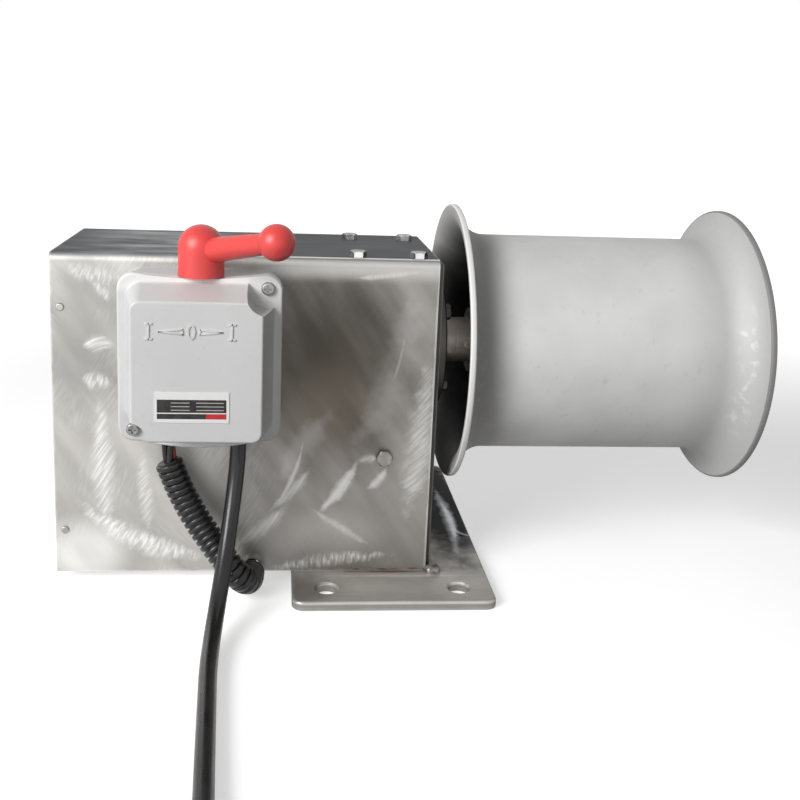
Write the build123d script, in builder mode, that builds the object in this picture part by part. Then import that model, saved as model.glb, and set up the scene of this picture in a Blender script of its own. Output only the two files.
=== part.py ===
from build123d import *
import os
from math import acos, cos, pi, radians, sin, sqrt, tan

# Electric anchor winch: a stainless casing on a base plate, with a flared drum on its shaft.
# X runs along the shaft with the drum at +X, the switch faces -Y, and Z is up.
# The origin is the middle of the base plate's underside. Lengths are millimetres.

# Base plate
plate_width = 134.0
plate_depth = 246.0
plate_thick = 6.0
plate_corner = 8.0
plate_edge_round = 2.0
plate_hole_dia = 14.0
plate_hole_chamfer = 1.2
plate_hole_inset_x = 23.0
plate_hole_inset_y = 19.0
plate_front_overhang = 44.0
plate_right_overhang = 42.0

# Casing of bent sheet
casing_width = 248.5
sheet = 3.0
bend_radius = 5.0
left_flange_length = 16.0
end_plate_thick = 6.0
end_plate_inset = 3.0
shaft_height = 149.5
weld_leg = 4.0
weld_hollow = 6.4
weld_blob_radius = 4.6

# Hexagon bolts of the casing
m6_dia = 6.0
m6_flats = 10.0
m6_head = 4.0
m6_grip = 9.0
motor_screw_grip = 6.0
hex_chamfer_drop = 0.9
clearance_hole_gap = 0.2
thread_gap = 0.05
lid_bolt_pitch_x = 40.0
lid_bolt_right_inset = 13.0
lid_bolt_front_inset = 10.0
lid_bolt_pitch_y = 83.0
side_bolt_inset_x = 31.5
side_bolt_height = 82.0
rivet_dia = 3.2
rivet_head_dia = 5.0
rivet_head = 1.2
rivet_inset = 6.3
rivet_low_height = 30.0
rivet_high_height = 181.0

# Shaft outlet
main_bearing_bore = 30.0
main_bearing_outside = 55.0
bearing_ring_wall = 4.5
bearing_ring_gap = 0.4
seal_lip_thick = 1.5
flange_dia = 90.0
flange_thick = 7.0
flange_edge_round = 1.0
flange_bolt_circle_dia = 72.0
flange_bolt_count = 4
seal_outside = 44.0
running_fit = 0.05

# Gear train
module = 1.5
pinion_teeth = 16
wheel_teeth = 60
pressure_angle = radians(20.0)
addendum_share = 0.8
dedendum_share = 1.1
backlash = 0.3
cavity_gap = 1.4
case_wall = 7.0
stage_gap = 2.5
output_face = 24.0
first_face = 14.0
partition_thick = 8.0
ledge = 2.5
motor_flange_thick = 12.0
case_window_margin = 12.0
case_window_height = 28.0
output_seat_dia = 28.0
output_journal_dia = 20.0
layshaft_body_dia = 18.0
layshaft_journal_dia = 14.0
layshaft_clear = 2.0
bush_wall = 3.0
end_float = 0.5
key_width = 8.0
key_height = 7.0
key_shaft_depth = 4.0
m5_dia = 5.0
m5_head_dia = 8.5
m5_head = 5.0
m5_grip = 8.0

# Motor
motor_outside = 108.0
motor_wall = 4.0
motor_end_gap = 10.5
motor_side_gap = 3.0
motor_top_gap = 9.5
stator_length = 80.0
stator_bore = 62.0
air_gap = 0.3
winding_overhang = 18.0
winding_wall = 14.0
winding_inset = 2.0
rotor_shaft_dia = 20.0
motor_pinion_bore = 14.0
front_bearing_outside = 42.0
rear_bearing_outside = 40.0
rear_bearing_bore = 17.0
rear_bearing_width = 12.0
motor_ring_wall = 4.0
end_bell_wall = 4.0
end_bell_corner = 8.0
tie_bolt_offset = 43.0
tie_bolt_margin = 7.0

# Start capacitor
capacitor_dia = 45.0
capacitor_length = 90.0
capacitor_from_left = 34.0
capacitor_lift = 3.0
clamp_band = 2.0
clamp_width = 20.0
clamp_foot_length = 70.0

# Drum
drum_length = 199.0
drum_gap = 6.0
drum_rim_dia = 194.0
drum_barrel_dia = 152.0
drum_wall = 4.0
drum_rim_round = 1.2
web_thick = 6.0
web_inset = 43.0
hub_dia = 46.0
hub_left_inset = 16.5
hub_right_inset = 24.5
drum_shaft_dia = 32.0
drum_key_width = 10.0
drum_key_height = 8.0
drum_key_shaft_depth = 5.0
drum_key_length = 80.0
shaft_pin_dia = 5.0
end_washer_dia = 46.0
end_washer_thick = 4.0
end_bolt_dia = 10.0
end_bolt_flats = 16.0
end_bolt_head = 6.4
end_bolt_grip = 25.0

# Reversing switch
switch_width = 99.0
switch_height = 105.0
switch_from_left = 97.5
switch_rise = 158.7
switch_corner = 10.0
switch_base_depth = 32.0
switch_base_step = 3.0
switch_wall = 3.0
switch_top_wall = 7.0
cover_rim_depth = 8.0
cover_raise = 25.0
cover_foot_inset = 5.0
face_width = 77.0
face_height = 85.0
face_drop = 2.2
face_corner = 6.0
cover_edge_round = 1.5
top_dip = 3.0
top_dip_chord = 80.0
lip_drop = 4.3
lip_width = 72.0
screw_pocket_radius = 12.0
cover_screw_x = 40.5
cover_screw_z = 44.5
cover_screw_dia = 4.0
cover_screw_head_dia = 8.0
cover_screw_head = 2.6
cover_screw_grip = 16.0
screw_slot = 1.2
pillar_radius = 5.5
mount_screw_x = 30.0
mount_screw_z = 36.0
mount_screw_head_dia = 9.0
label_width = 43.5
label_height = 18.5
label_thick = 0.4
label_x = -2.7
label_z = -22.7

# Handle and contacts
hub_handle_radius = 14.0
hub_handle_height = 17.0
hub_handle_lift = 0.8
arm_root_radius = 8.0
arm_tip_radius = 5.9
arm_start_height = 14.5
ball_radius = 10.6
ball_reach = 64.0
ball_height = 27.5
handle_turn = -45.0
spindle_dia = 12.0
spindle_socket_depth = 12.0
cam_radius = 16.0
cam_height = 60.0
contact_thick = 1.5
contact_height = 7.0
contact_pitch = 18.0
contact_count = 3
contact_gap = 0.6
finger_thick = 1.6
spindle_foot_gap = 1.0

# Wiring
conduit_outside = 18.0
conduit_valley = 14.6
conduit_bore = 11.8
rib_pitch = 4.3
conduit_end_gap = 8.5
conduit_straight = 10.8
conduit_plate_gap = 27.0
conduit_floor_gap = 0.4
conduit_top_gap = 21.7
conduit_top_aside = 0.8
wire_hole_from_middle = 21.0
wire_hole_from_panel = 16.0
wire_inside_run = 24.0
wire_bundle_dia = 10.0
wire_hole_gap = 0.5
wire_notch_gap = 0.6
cable_dia = 10.4
cable_from_middle = 23.0
cable_from_panel = 19.0
bush_flange = 2.5
bush_cone = 7.0
bush_sleeve = 10.0
coil_first_radius = 68.0
coil_step = 11.2
coil_layer = 11.0
coil_half_turns = 4
tie_thick = 1.2
tie_width = 14.0
tie_side_gap = 0.8
tie_gap = 0.3
plug_lead = 46.0
plug_length = 48.0
plug_width = 40.0
plug_boot_length = 22.0
plug_boot_radius = 9.0
plug_round = 6.0
pin_length = 18.0
pin_width = 6.5
pin_thick = 1.6
pin_spread = 7.9
pin_angle = 30.0
plug_floor_gap = 0.5

# Places worked out from the sizes above
ALONG_X = (0, 90, 0)
TO_FRONT = (90, 0, 0)
TO_BACK = (-90, 0, 0)
START = (Align.CENTER, Align.CENTER, Align.MIN)
LOW = (Align.MIN, Align.MIN, Align.MIN)
hole_pitch_x = plate_width - 2 * plate_hole_inset_x
hole_pitch_y = plate_depth - 2 * plate_hole_inset_y
casing_x1 = plate_width / 2 - plate_right_overhang
casing_x0 = casing_x1 - casing_width
casing_y0 = plate_front_overhang - plate_depth / 2
casing_depth = motor_outside + 2 * (motor_side_gap + sheet)
casing_height = shaft_height + motor_outside / 2 + motor_top_gap + sheet
casing_y1 = casing_y0 + casing_depth
casing_z0 = plate_thick
casing_z1 = plate_thick + casing_height
inner_y0 = casing_y0 + sheet
inner_y1 = casing_y1 - sheet
inner_z0 = casing_z0 + sheet
inner_z1 = casing_z1 - sheet
inner_depth = inner_y1 - inner_y0
axis_y = (casing_y0 + casing_y1) / 2
axis_z = plate_thick + shaft_height
centre_distance = module * (pinion_teeth + wheel_teeth) / 2
layshaft_z = axis_z - centre_distance
end_x0 = casing_x1 - end_plate_inset
end_x1 = end_x0 + end_plate_thick
wall_x = end_x0 - case_wall
output_x1 = wall_x - stage_gap
output_x0 = output_x1 - output_face
partition_x1 = output_x0 - stage_gap - end_float
partition_x0 = partition_x1 - partition_thick
first_x1 = partition_x0 - stage_gap - end_float
first_x0 = first_x1 - first_face
case_x0 = first_x0 - stage_gap - end_float
motor_x1 = case_x0 - motor_flange_thick
bell_x0 = casing_x0 + sheet + motor_end_gap
motor_x0 = bell_x0 + rear_bearing_width + end_bell_wall
motor_length = motor_x1 - motor_x0
flange_x1 = end_x1 + flange_thick
wheel_tip = module * (wheel_teeth / 2 + addendum_share)
cavity_radius = wheel_tip + cavity_gap
drum_x0 = flange_x1 + drum_gap
drum_x1 = drum_x0 + drum_length
hub_x0 = drum_x0 + hub_left_inset
hub_x1 = drum_x1 - hub_right_inset
switch_x = casing_x0 + switch_from_left
switch_z = plate_thick + switch_rise


def hex_bolt(dia, flats, head, grip):
    """A hexagon bolt standing on its seat: head above the plane, shank below."""
    with BuildPart() as bolt:
        with BuildSketch():
            RegularPolygon(flats / 2, 6, major_radius=False)
        extrude(amount=head)
        Cone(
            flats / sqrt(3) + head - hex_chamfer_drop,
            flats / sqrt(3) - hex_chamfer_drop,
            head,
            align=START,
            mode=Mode.INTERSECT,
        )
        Cylinder(dia / 2, grip, rotation=(180, 0, 0), align=START)
    return bolt.part


def cap_screw(dia, head_dia, head, grip):
    """A round headed screw standing on its seat: head above the plane, shank below."""
    with BuildPart() as screw:
        Cylinder(head_dia / 2, head, align=START)
        fillet(screw.edges().group_by(Axis.Z)[-1], head / 3)
        Cylinder(dia / 2, grip, rotation=(180, 0, 0), align=START)
    return screw.part


def gear_outline(teeth, phase):
    """The outline of a stub involute gear about the origin, with a tooth at the phase angle."""
    pitch = module * teeth / 2
    base = pitch * cos(pressure_angle)
    tip = pitch + module * addendum_share
    root = pitch - module * dedendum_share
    involute = tan(pressure_angle) - pressure_angle
    half_tooth = pi / (2 * teeth) - backlash / (4 * pitch)
    flank_start = max(base, root)
    flank_radii = [flank_start + (tip - flank_start) * step / 3 for step in range(4)]

    def half_angle(radius):
        roll = acos(min(1.0, base / radius))
        return half_tooth + involute - (tan(roll) - roll)

    tooth = [(root, -half_angle(flank_start))]
    tooth += [(radius, -half_angle(radius)) for radius in flank_radii]
    tooth += [(radius, half_angle(radius)) for radius in reversed(flank_radii)]
    tooth += [(root, half_angle(flank_start))]
    if root > base:
        tooth = tooth[1:-1]
    points = []
    for index in range(teeth):
        centre = radians(phase) + 2 * pi * index / teeth
        points += [(r * cos(centre + a), r * sin(centre + a)) for r, a in tooth]
    with BuildSketch() as outline:
        with BuildLine():
            Polyline(*points, close=True)
        make_face()
    return outline.sketch


def bend_radii(points):
    """The radius of each bend in a route: 0.45 of its shorter run over tan of half its turn."""
    radii = []
    for before, here, after in zip(points, points[1:], points[2:]):
        run_in = Vector(*here) - Vector(*before)
        run_out = Vector(*after) - Vector(*here)
        half_turn = radians(run_in.get_angle(run_out)) / 2
        radii.append(0.45 * min(run_in.length, run_out.length) / tan(half_turn))
    return radii


def write(piece, name):
    """Label a finished piece and write it."""
    piece.part.label = name
    export_step(piece.part, f"parts/{name}.step")


os.makedirs("parts", exist_ok=True)

m6_lid_bolt = hex_bolt(m6_dia, m6_flats, m6_head, sheet + m6_grip)
m6_flange_bolt = hex_bolt(m6_dia, m6_flats, m6_head, flange_thick + end_plate_thick + case_wall)
m10_end_bolt = hex_bolt(end_bolt_dia, end_bolt_flats, end_bolt_head, end_washer_thick + end_bolt_grip)
m5_screw = cap_screw(m5_dia, m5_head_dia, m5_head, partition_thick + m5_grip)
m6_screw = cap_screw(m6_dia, m6_flats, m6_head, motor_flange_thick + motor_screw_grip)
panel_screw = cap_screw(m5_dia, mount_screw_head_dia, m6_head, switch_wall + sheet)

# Places of the bolts
lid_bolt_x1 = casing_x1 - lid_bolt_right_inset
lid_bolt_y0 = casing_y0 + lid_bolt_front_inset
lid_bolt_points = [
    (x, y)
    for x in (lid_bolt_x1 - lid_bolt_pitch_x, lid_bolt_x1)
    for y in (lid_bolt_y0, lid_bolt_y0 + lid_bolt_pitch_y)
]
side_bolt_x = casing_x1 - side_bolt_inset_x
side_bolt_z = plate_thick + side_bolt_height
rivet_x = casing_x0 + rivet_inset
rivet_zs = [plate_thick + rivet_low_height, plate_thick + rivet_high_height]
mount_screw_points = [(switch_x + s * mount_screw_x, switch_z - s * mount_screw_z) for s in (-1, 1)]

# Base plate
with BuildPart() as base_plate:
    with BuildSketch():
        RectangleRounded(plate_width, plate_depth, plate_corner)
    extrude(amount=plate_thick)
    fillet(base_plate.faces().sort_by(Axis.Z)[-1].edges(), plate_edge_round)
    with Locations((0, 0, plate_thick)):
        with GridLocations(hole_pitch_x, hole_pitch_y, 2, 2):
            Hole(plate_hole_dia / 2, plate_thick)
    hole_edges = base_plate.faces().sort_by(Axis.Z)[-1].inner_wires().edges()
    chamfer(hole_edges, plate_hole_chamfer)
write(base_plate, "base_plate")

# Route of the conduit from the switch to the floor before the casing, where its wires go in
wire_hole_x = switch_x - wire_hole_from_middle
wire_hole_y = casing_y0 - wire_hole_from_panel
conduit_x_end = -plate_width / 2 - conduit_plate_gap
conduit_run_x = conduit_x_end - wire_hole_x
conduit_z_end = conduit_outside / 2 + conduit_floor_gap
conduit_y_end = casing_y0 - conduit_end_gap
conduit_top_z = switch_z - switch_height / 2 - conduit_top_gap
conduit_points = [
    (wire_hole_x - conduit_top_aside, wire_hole_y, conduit_top_z),
    (wire_hole_x + 0.072 * conduit_run_x, wire_hole_y - 0.5, conduit_top_z - 12.0),
    (wire_hole_x + 0.178 * conduit_run_x, wire_hole_y - 2.0, conduit_top_z - 24.0),
    (wire_hole_x + 0.33 * conduit_run_x, wire_hole_y - 5.0, conduit_top_z - 37.5),
    (wire_hole_x + 0.5 * conduit_run_x, wire_hole_y - 9.0, conduit_top_z - 49.5),
    (wire_hole_x + 0.66 * conduit_run_x, wire_hole_y - 13.9, conduit_z_end + 21.6),
    (wire_hole_x + 0.813 * conduit_run_x, wire_hole_y - 16.5, conduit_z_end + 11.6),
    (wire_hole_x + 0.93 * conduit_run_x, wire_hole_y - 12.5, conduit_z_end + 3.8),
    (conduit_x_end, conduit_y_end - conduit_straight, conduit_z_end),
    (conduit_x_end, conduit_y_end, conduit_z_end),
]

# Front, top and back of the casing in one bent sheet
with BuildPart() as casing_wrap:
    with BuildSketch(Plane.YZ.offset(casing_x0)):
        with BuildLine():
            FilletPolyline(
                (casing_y0, casing_z0),
                (casing_y0, casing_z1),
                (casing_y1, casing_z1),
                (casing_y1, casing_z0),
                radius=bend_radius,
            )
            FilletPolyline(
                (inner_y0, casing_z0),
                (inner_y0, inner_z1),
                (inner_y1, inner_z1),
                (inner_y1, casing_z0),
                radius=bend_radius - sheet,
            )
            Line((casing_y0, casing_z0), (inner_y0, casing_z0))
            Line((casing_y1, casing_z0), (inner_y1, casing_z0))
        make_face()
    extrude(amount=casing_width)
    with Locations(*[(x, y, casing_z1) for x, y in lid_bolt_points]):
        Hole(m6_dia / 2 + clearance_hole_gap, sheet)
    with Locations((side_bolt_x, axis_y, side_bolt_z)):
        Cylinder(
            m6_dia / 2 + clearance_hole_gap,
            casing_depth,
            rotation=TO_FRONT,
            mode=Mode.SUBTRACT,
        )
    with Locations(*[(rivet_x, axis_y, z) for z in rivet_zs]):
        Cylinder(rivet_dia / 2, casing_depth, rotation=TO_FRONT, mode=Mode.SUBTRACT)
    with Locations(*[(x, casing_y0, z) for x, z in mount_screw_points]):
        Cylinder(m5_dia / 2, 3 * sheet, rotation=TO_FRONT, mode=Mode.SUBTRACT)
    with Locations((conduit_x_end, casing_y0, conduit_z_end)):
        Cylinder(wire_bundle_dia / 2 + wire_notch_gap, 3 * sheet, rotation=TO_FRONT, mode=Mode.SUBTRACT)
        Box(
            wire_bundle_dia + 2 * wire_notch_gap,
            3 * sheet,
            conduit_z_end,
            align=(Align.CENTER, Align.CENTER, Align.MAX),
            mode=Mode.SUBTRACT,
        )
write(casing_wrap, "casing_wrap")

# Left end: a plate with a flange along its front and back edges
with BuildPart() as casing_left_end:
    with Locations((casing_x0, inner_y0, inner_z0)):
        Box(left_flange_length, inner_depth, inner_z1 - inner_z0, align=LOW)
        with Locations((sheet, sheet, 0)):
            Box(
                left_flange_length,
                inner_depth - 2 * sheet,
                inner_z1 - inner_z0,
                align=LOW,
                mode=Mode.SUBTRACT,
            )
    top_edges = casing_left_end.edges().filter_by(Axis.X).group_by(Axis.Z)[-1].sort_by(Axis.Y)
    fillet([top_edges[0], top_edges[-1]], bend_radius - sheet)
    with Locations(*[(rivet_x, axis_y, z) for z in rivet_zs]):
        Cylinder(rivet_dia / 2, casing_depth, rotation=TO_FRONT, mode=Mode.SUBTRACT)
write(casing_left_end, "casing_left_end")

# Floor of the casing
with BuildPart() as casing_bottom:
    with Locations((casing_x0, inner_y0, casing_z0)):
        Box(end_x0 - casing_x0, inner_depth, sheet, align=LOW)
    with Locations((conduit_x_end, inner_y0, casing_z0)):
        Box(
            wire_bundle_dia + 2 * wire_notch_gap,
            2 * (wire_inside_run + sheet),
            4 * sheet,
            mode=Mode.SUBTRACT,
        )
write(casing_bottom, "casing_bottom")

# Right end plate, set into the sheet, which carries the shaft bearing
with BuildPart() as casing_right_end:
    with Locations((end_x0, inner_y0, casing_z0)):
        Box(end_plate_thick, inner_depth, casing_height - sheet, align=LOW)
    top_edges = casing_right_end.edges().filter_by(Axis.X).group_by(Axis.Z)[-1].sort_by(Axis.Y)
    fillet([top_edges[0], top_edges[-1]], bend_radius - sheet)
    with BuildSketch(Plane.YZ.offset(end_x0)):
        with Locations((axis_y, axis_z)):
            Circle(main_bearing_outside / 2)
            with PolarLocations(flange_bolt_circle_dia / 2, flange_bolt_count, start_angle=45):
                Circle(m6_dia / 2 + clearance_hole_gap)
    extrude(amount=end_plate_thick, mode=Mode.SUBTRACT)
write(casing_right_end, "casing_right_end")

# Fillet welds between the casing and the base plate, with a blob at the front corner
with BuildPart() as weld_beads:
    with BuildSketch(Plane.XZ.offset(-inner_y1)):
        with BuildLine():
            Line((end_x1, plate_thick), (end_x1 + weld_leg, plate_thick))
            RadiusArc((end_x1 + weld_leg, plate_thick), (end_x1, plate_thick + weld_leg), -weld_hollow)
            Line((end_x1, plate_thick + weld_leg), (end_x1, plate_thick))
        make_face()
    extrude(amount=inner_depth)
    with BuildSketch(Plane.YZ.offset(casing_x1 - case_wall)):
        with BuildLine():
            Line((casing_y1, plate_thick), (casing_y1 + weld_leg, plate_thick))
            RadiusArc(
                (casing_y1 + weld_leg, plate_thick),
                (casing_y1, plate_thick + weld_leg),
                -weld_hollow,
            )
            Line((casing_y1, plate_thick + weld_leg), (casing_y1, plate_thick))
        make_face()
    extrude(amount=-(casing_x1 - case_wall + plate_width / 2 - plate_corner))
    with Locations((end_x1, casing_y0 - weld_leg / 2, plate_thick)):
        Sphere(weld_blob_radius)
    with Locations((casing_x0, casing_y0, plate_thick)):
        Box(casing_width, casing_depth, casing_height, align=LOW, mode=Mode.SUBTRACT)
    with Locations((end_x0, inner_y0, plate_thick)):
        Box(end_plate_thick, inner_depth, casing_height, align=LOW, mode=Mode.SUBTRACT)
    with Locations((0, casing_y0, plate_thick)):
        Box(
            plate_width,
            plate_width,
            plate_width,
            align=(Align.CENTER, Align.CENTER, Align.MAX),
            mode=Mode.SUBTRACT,
        )
write(weld_beads, "weld_beads")

# Bolts of the casing
with BuildPart() as lid_bolts:
    with Locations(*[(x, y, casing_z1) for x, y in lid_bolt_points]):
        add(m6_lid_bolt)
write(lid_bolts, "lid_bolts")

with BuildPart() as side_bolts:
    with Locations(
        Location((side_bolt_x, casing_y0, side_bolt_z), TO_FRONT),
        Location((side_bolt_x, casing_y1, side_bolt_z), TO_BACK),
    ):
        add(m6_lid_bolt)
write(side_bolts, "side_bolts")

with BuildPart() as rivet:
    Cylinder(rivet_head_dia / 2, rivet_head, align=START)
    fillet(rivet.edges().group_by(Axis.Z)[-1], rivet_head / 2)
    Cylinder(rivet_dia / 2 - thread_gap, 2 * sheet, rotation=(180, 0, 0), align=START)

with BuildPart() as end_rivets:
    for z in rivet_zs:
        with Locations(
            Location((rivet_x, casing_y0, z), TO_FRONT),
            Location((rivet_x, casing_y1, z), TO_BACK),
        ):
            add(rivet.part)
write(end_rivets, "end_rivets")

# Flange that covers the shaft bearing, with its bolts and seal
with BuildPart() as bearing_flange:
    with BuildSketch(Plane.YZ.offset(end_x1)):
        with Locations((axis_y, axis_z)):
            Circle(flange_dia / 2)
            Circle(seal_outside / 2, mode=Mode.SUBTRACT)
            with PolarLocations(flange_bolt_circle_dia / 2, flange_bolt_count, start_angle=45):
                Circle(m6_dia / 2 + clearance_hole_gap, mode=Mode.SUBTRACT)
    extrude(amount=flange_thick)
    flange_face = bearing_flange.faces().sort_by(Axis.X)[-1]
    fillet(flange_face.outer_wire().edges(), flange_edge_round)
write(bearing_flange, "bearing_flange")

flange_bolt_offset = flange_bolt_circle_dia / 2 * cos(pi / 4)
with BuildPart() as flange_bolts:
    with Locations(
        *[
            Location((flange_x1, axis_y + sy * flange_bolt_offset, axis_z + sz * flange_bolt_offset), ALONG_X)
            for sy in (-1, 1)
            for sz in (-1, 1)
        ]
    ):
        add(m6_flange_bolt)
write(flange_bolts, "flange_bolts")

with BuildPart() as shaft_seal:
    with Locations((end_x1, axis_y, axis_z)):
        Cylinder(seal_outside / 2, flange_thick, rotation=ALONG_X, align=START)
        Cylinder(
            drum_shaft_dia / 2 + running_fit,
            flange_thick,
            rotation=ALONG_X,
            align=START,
            mode=Mode.SUBTRACT,
        )
write(shaft_seal, "shaft_seal")

# Main bearing: an outer ring with its seal lips, and an inner ring on the shaft
main_bearing_width = end_x1 - wall_x
inner_ring_radius = main_bearing_bore / 2 + bearing_ring_wall
with BuildPart() as main_bearing_outer:
    with Locations((wall_x, axis_y, axis_z)):
        Cylinder(main_bearing_outside / 2, main_bearing_width, rotation=ALONG_X, align=START)
        Cylinder(
            inner_ring_radius + bearing_ring_gap,
            main_bearing_width,
            rotation=ALONG_X,
            align=START,
            mode=Mode.SUBTRACT,
        )
    with Locations((wall_x + seal_lip_thick, axis_y, axis_z)):
        Cylinder(
            main_bearing_outside / 2 - bearing_ring_wall,
            main_bearing_width - 2 * seal_lip_thick,
            rotation=ALONG_X,
            align=START,
            mode=Mode.SUBTRACT,
        )
write(main_bearing_outer, "main_bearing_outer")

with BuildPart() as main_bearing_inner:
    with Locations((wall_x, axis_y, axis_z)):
        Cylinder(inner_ring_radius, main_bearing_width, rotation=ALONG_X, align=START)
        Cylinder(
            main_bearing_bore / 2,
            main_bearing_width,
            rotation=ALONG_X,
            align=START,
            mode=Mode.SUBTRACT,
        )
write(main_bearing_inner, "main_bearing_inner")

# Gear case: a block with a slot shaped well for the output pair and a wider one for the first pair
case_mid_z = (axis_z + layshaft_z) / 2
first_well_width = 2 * (cavity_radius + ledge)
first_well_height = centre_distance + 2 * cavity_radius
partition_screw_y = cavity_radius - m5_dia
partition_screw_z = first_well_height / 2 - m5_dia
motor_screw_y = inner_depth / 2 - m6_flats
motor_screw_z = first_well_height / 2 + m6_flats * 0.75
output_bush_radius = output_journal_dia / 2 + bush_wall
layshaft_bush_radius = layshaft_journal_dia / 2 + bush_wall
with BuildPart() as gear_case:
    with Locations((case_x0, inner_y0, inner_z0)):
        Box(end_x0 - case_x0, inner_depth, inner_z1 - inner_z0, align=LOW)
    fillet(
        gear_case.edges().filter_by(Axis.X).group_by(Axis.Z)[-1],
        bend_radius - sheet,
    )
    with BuildSketch(Plane.YZ.offset(wall_x)):
        with Locations((axis_y, case_mid_z)):
            SlotCenterToCenter(centre_distance, 2 * cavity_radius, rotation=90)
    extrude(amount=partition_x1 - wall_x, mode=Mode.SUBTRACT)
    with BuildSketch(Plane.YZ.offset(partition_x1)):
        with Locations((axis_y, case_mid_z)):
            RectangleRounded(first_well_width, first_well_height, plate_corner)
    extrude(amount=case_x0 - partition_x1, mode=Mode.SUBTRACT)
    with BuildSketch(Plane.YZ.offset(case_x0)):
        with Locations((axis_y, inner_z0 + case_window_margin + case_window_height / 2)):
            Rectangle(inner_depth - 2 * case_window_margin, case_window_height)
    extrude(amount=end_x0 - case_x0, mode=Mode.SUBTRACT)
    with BuildSketch(Plane.YZ.offset(wall_x)):
        with Locations((axis_y, axis_z)):
            Circle(main_bearing_outside / 2)
            with PolarLocations(flange_bolt_circle_dia / 2, flange_bolt_count, start_angle=45):
                Circle(m6_dia / 2 + thread_gap)
        with Locations((axis_y, layshaft_z)):
            Circle(layshaft_bush_radius)
    extrude(amount=case_wall, mode=Mode.SUBTRACT)
    with BuildSketch(Plane.YZ.offset(partition_x1)):
        with Locations((axis_y, case_mid_z)):
            with GridLocations(2 * partition_screw_y, 2 * partition_screw_z, 2, 2):
                Circle(m5_dia / 2 + thread_gap)
    extrude(amount=m5_grip, mode=Mode.SUBTRACT)
    with BuildSketch(Plane.YZ.offset(case_x0)):
        with Locations((axis_y, case_mid_z)):
            with GridLocations(2 * motor_screw_y, 2 * motor_screw_z, 2, 2):
                Circle(m6_dia / 2 + thread_gap)
    extrude(amount=motor_screw_grip, mode=Mode.SUBTRACT)
    with Locations(*[(x, y, inner_z1) for x, y in lid_bolt_points]):
        Hole(m6_dia / 2 + thread_gap, m6_grip)
    with Locations(
        Location((side_bolt_x, inner_y0, side_bolt_z), TO_FRONT),
        Location((side_bolt_x, inner_y1, side_bolt_z), TO_BACK),
    ):
        Hole(m6_dia / 2 + thread_gap, m6_grip)
write(gear_case, "gear_case")

with BuildPart() as partition_plate:
    with BuildSketch(Plane.YZ.offset(partition_x0)):
        with Locations((axis_y, case_mid_z)):
            RectangleRounded(
                first_well_width - 2 * thread_gap,
                first_well_height - 2 * thread_gap,
                plate_corner,
            )
            with GridLocations(2 * partition_screw_y, 2 * partition_screw_z, 2, 2):
                Circle(m5_dia / 2 + clearance_hole_gap, mode=Mode.SUBTRACT)
        with Locations((axis_y, axis_z)):
            Circle(output_bush_radius, mode=Mode.SUBTRACT)
        with Locations((axis_y, layshaft_z)):
            Circle(layshaft_body_dia / 2 + layshaft_clear, mode=Mode.SUBTRACT)
    extrude(amount=partition_thick)
write(partition_plate, "partition_plate")

motor_flange_half_height = motor_screw_z + m6_flats * 0.75
with BuildPart() as motor_flange:
    with BuildSketch(Plane.YZ.offset(motor_x1)):
        with Locations((axis_y, case_mid_z)):
            RectangleRounded(inner_depth - 2 * sheet, 2 * motor_flange_half_height, plate_corner)
            with GridLocations(2 * motor_screw_y, 2 * motor_screw_z, 2, 2):
                Circle(m6_dia / 2 + clearance_hole_gap, mode=Mode.SUBTRACT)
        with Locations((axis_y, axis_z)):
            Circle(front_bearing_outside / 2, mode=Mode.SUBTRACT)
            with GridLocations(2 * tie_bolt_offset, 2 * tie_bolt_offset, 2, 2):
                Circle(m5_dia / 2 + thread_gap, mode=Mode.SUBTRACT)
        with Locations((axis_y, layshaft_z)):
            Circle(layshaft_bush_radius, mode=Mode.SUBTRACT)
    extrude(amount=motor_flange_thick)
write(motor_flange, "motor_flange")

with BuildPart() as gear_case_screws:
    for sy in (-1, 1):
        for sz in (-1, 1):
            with Locations(
                Location(
                    (partition_x0, axis_y + sy * partition_screw_y, case_mid_z + sz * partition_screw_z),
                    (0, -90, 0),
                )
            ):
                add(m5_screw)
            with Locations(
                Location(
                    (motor_x1, axis_y + sy * motor_screw_y, case_mid_z + sz * motor_screw_z),
                    (0, -90, 0),
                )
            ):
                add(m6_screw)
write(gear_case_screws, "gear_case_screws")

with BuildPart() as gear_case_bushes:
    for x, z, length, journal in (
        (partition_x0, axis_z, partition_thick, output_journal_dia),
        (motor_x1, layshaft_z, motor_flange_thick, layshaft_journal_dia),
        (wall_x, layshaft_z, case_wall, layshaft_journal_dia),
    ):
        with BuildSketch(Plane.YZ.offset(x)):
            with Locations((axis_y, z)):
                Circle(journal / 2 + bush_wall)
                Circle(journal / 2 + running_fit, mode=Mode.SUBTRACT)
        extrude(amount=length)
write(gear_case_bushes, "gear_case_bushes")

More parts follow.
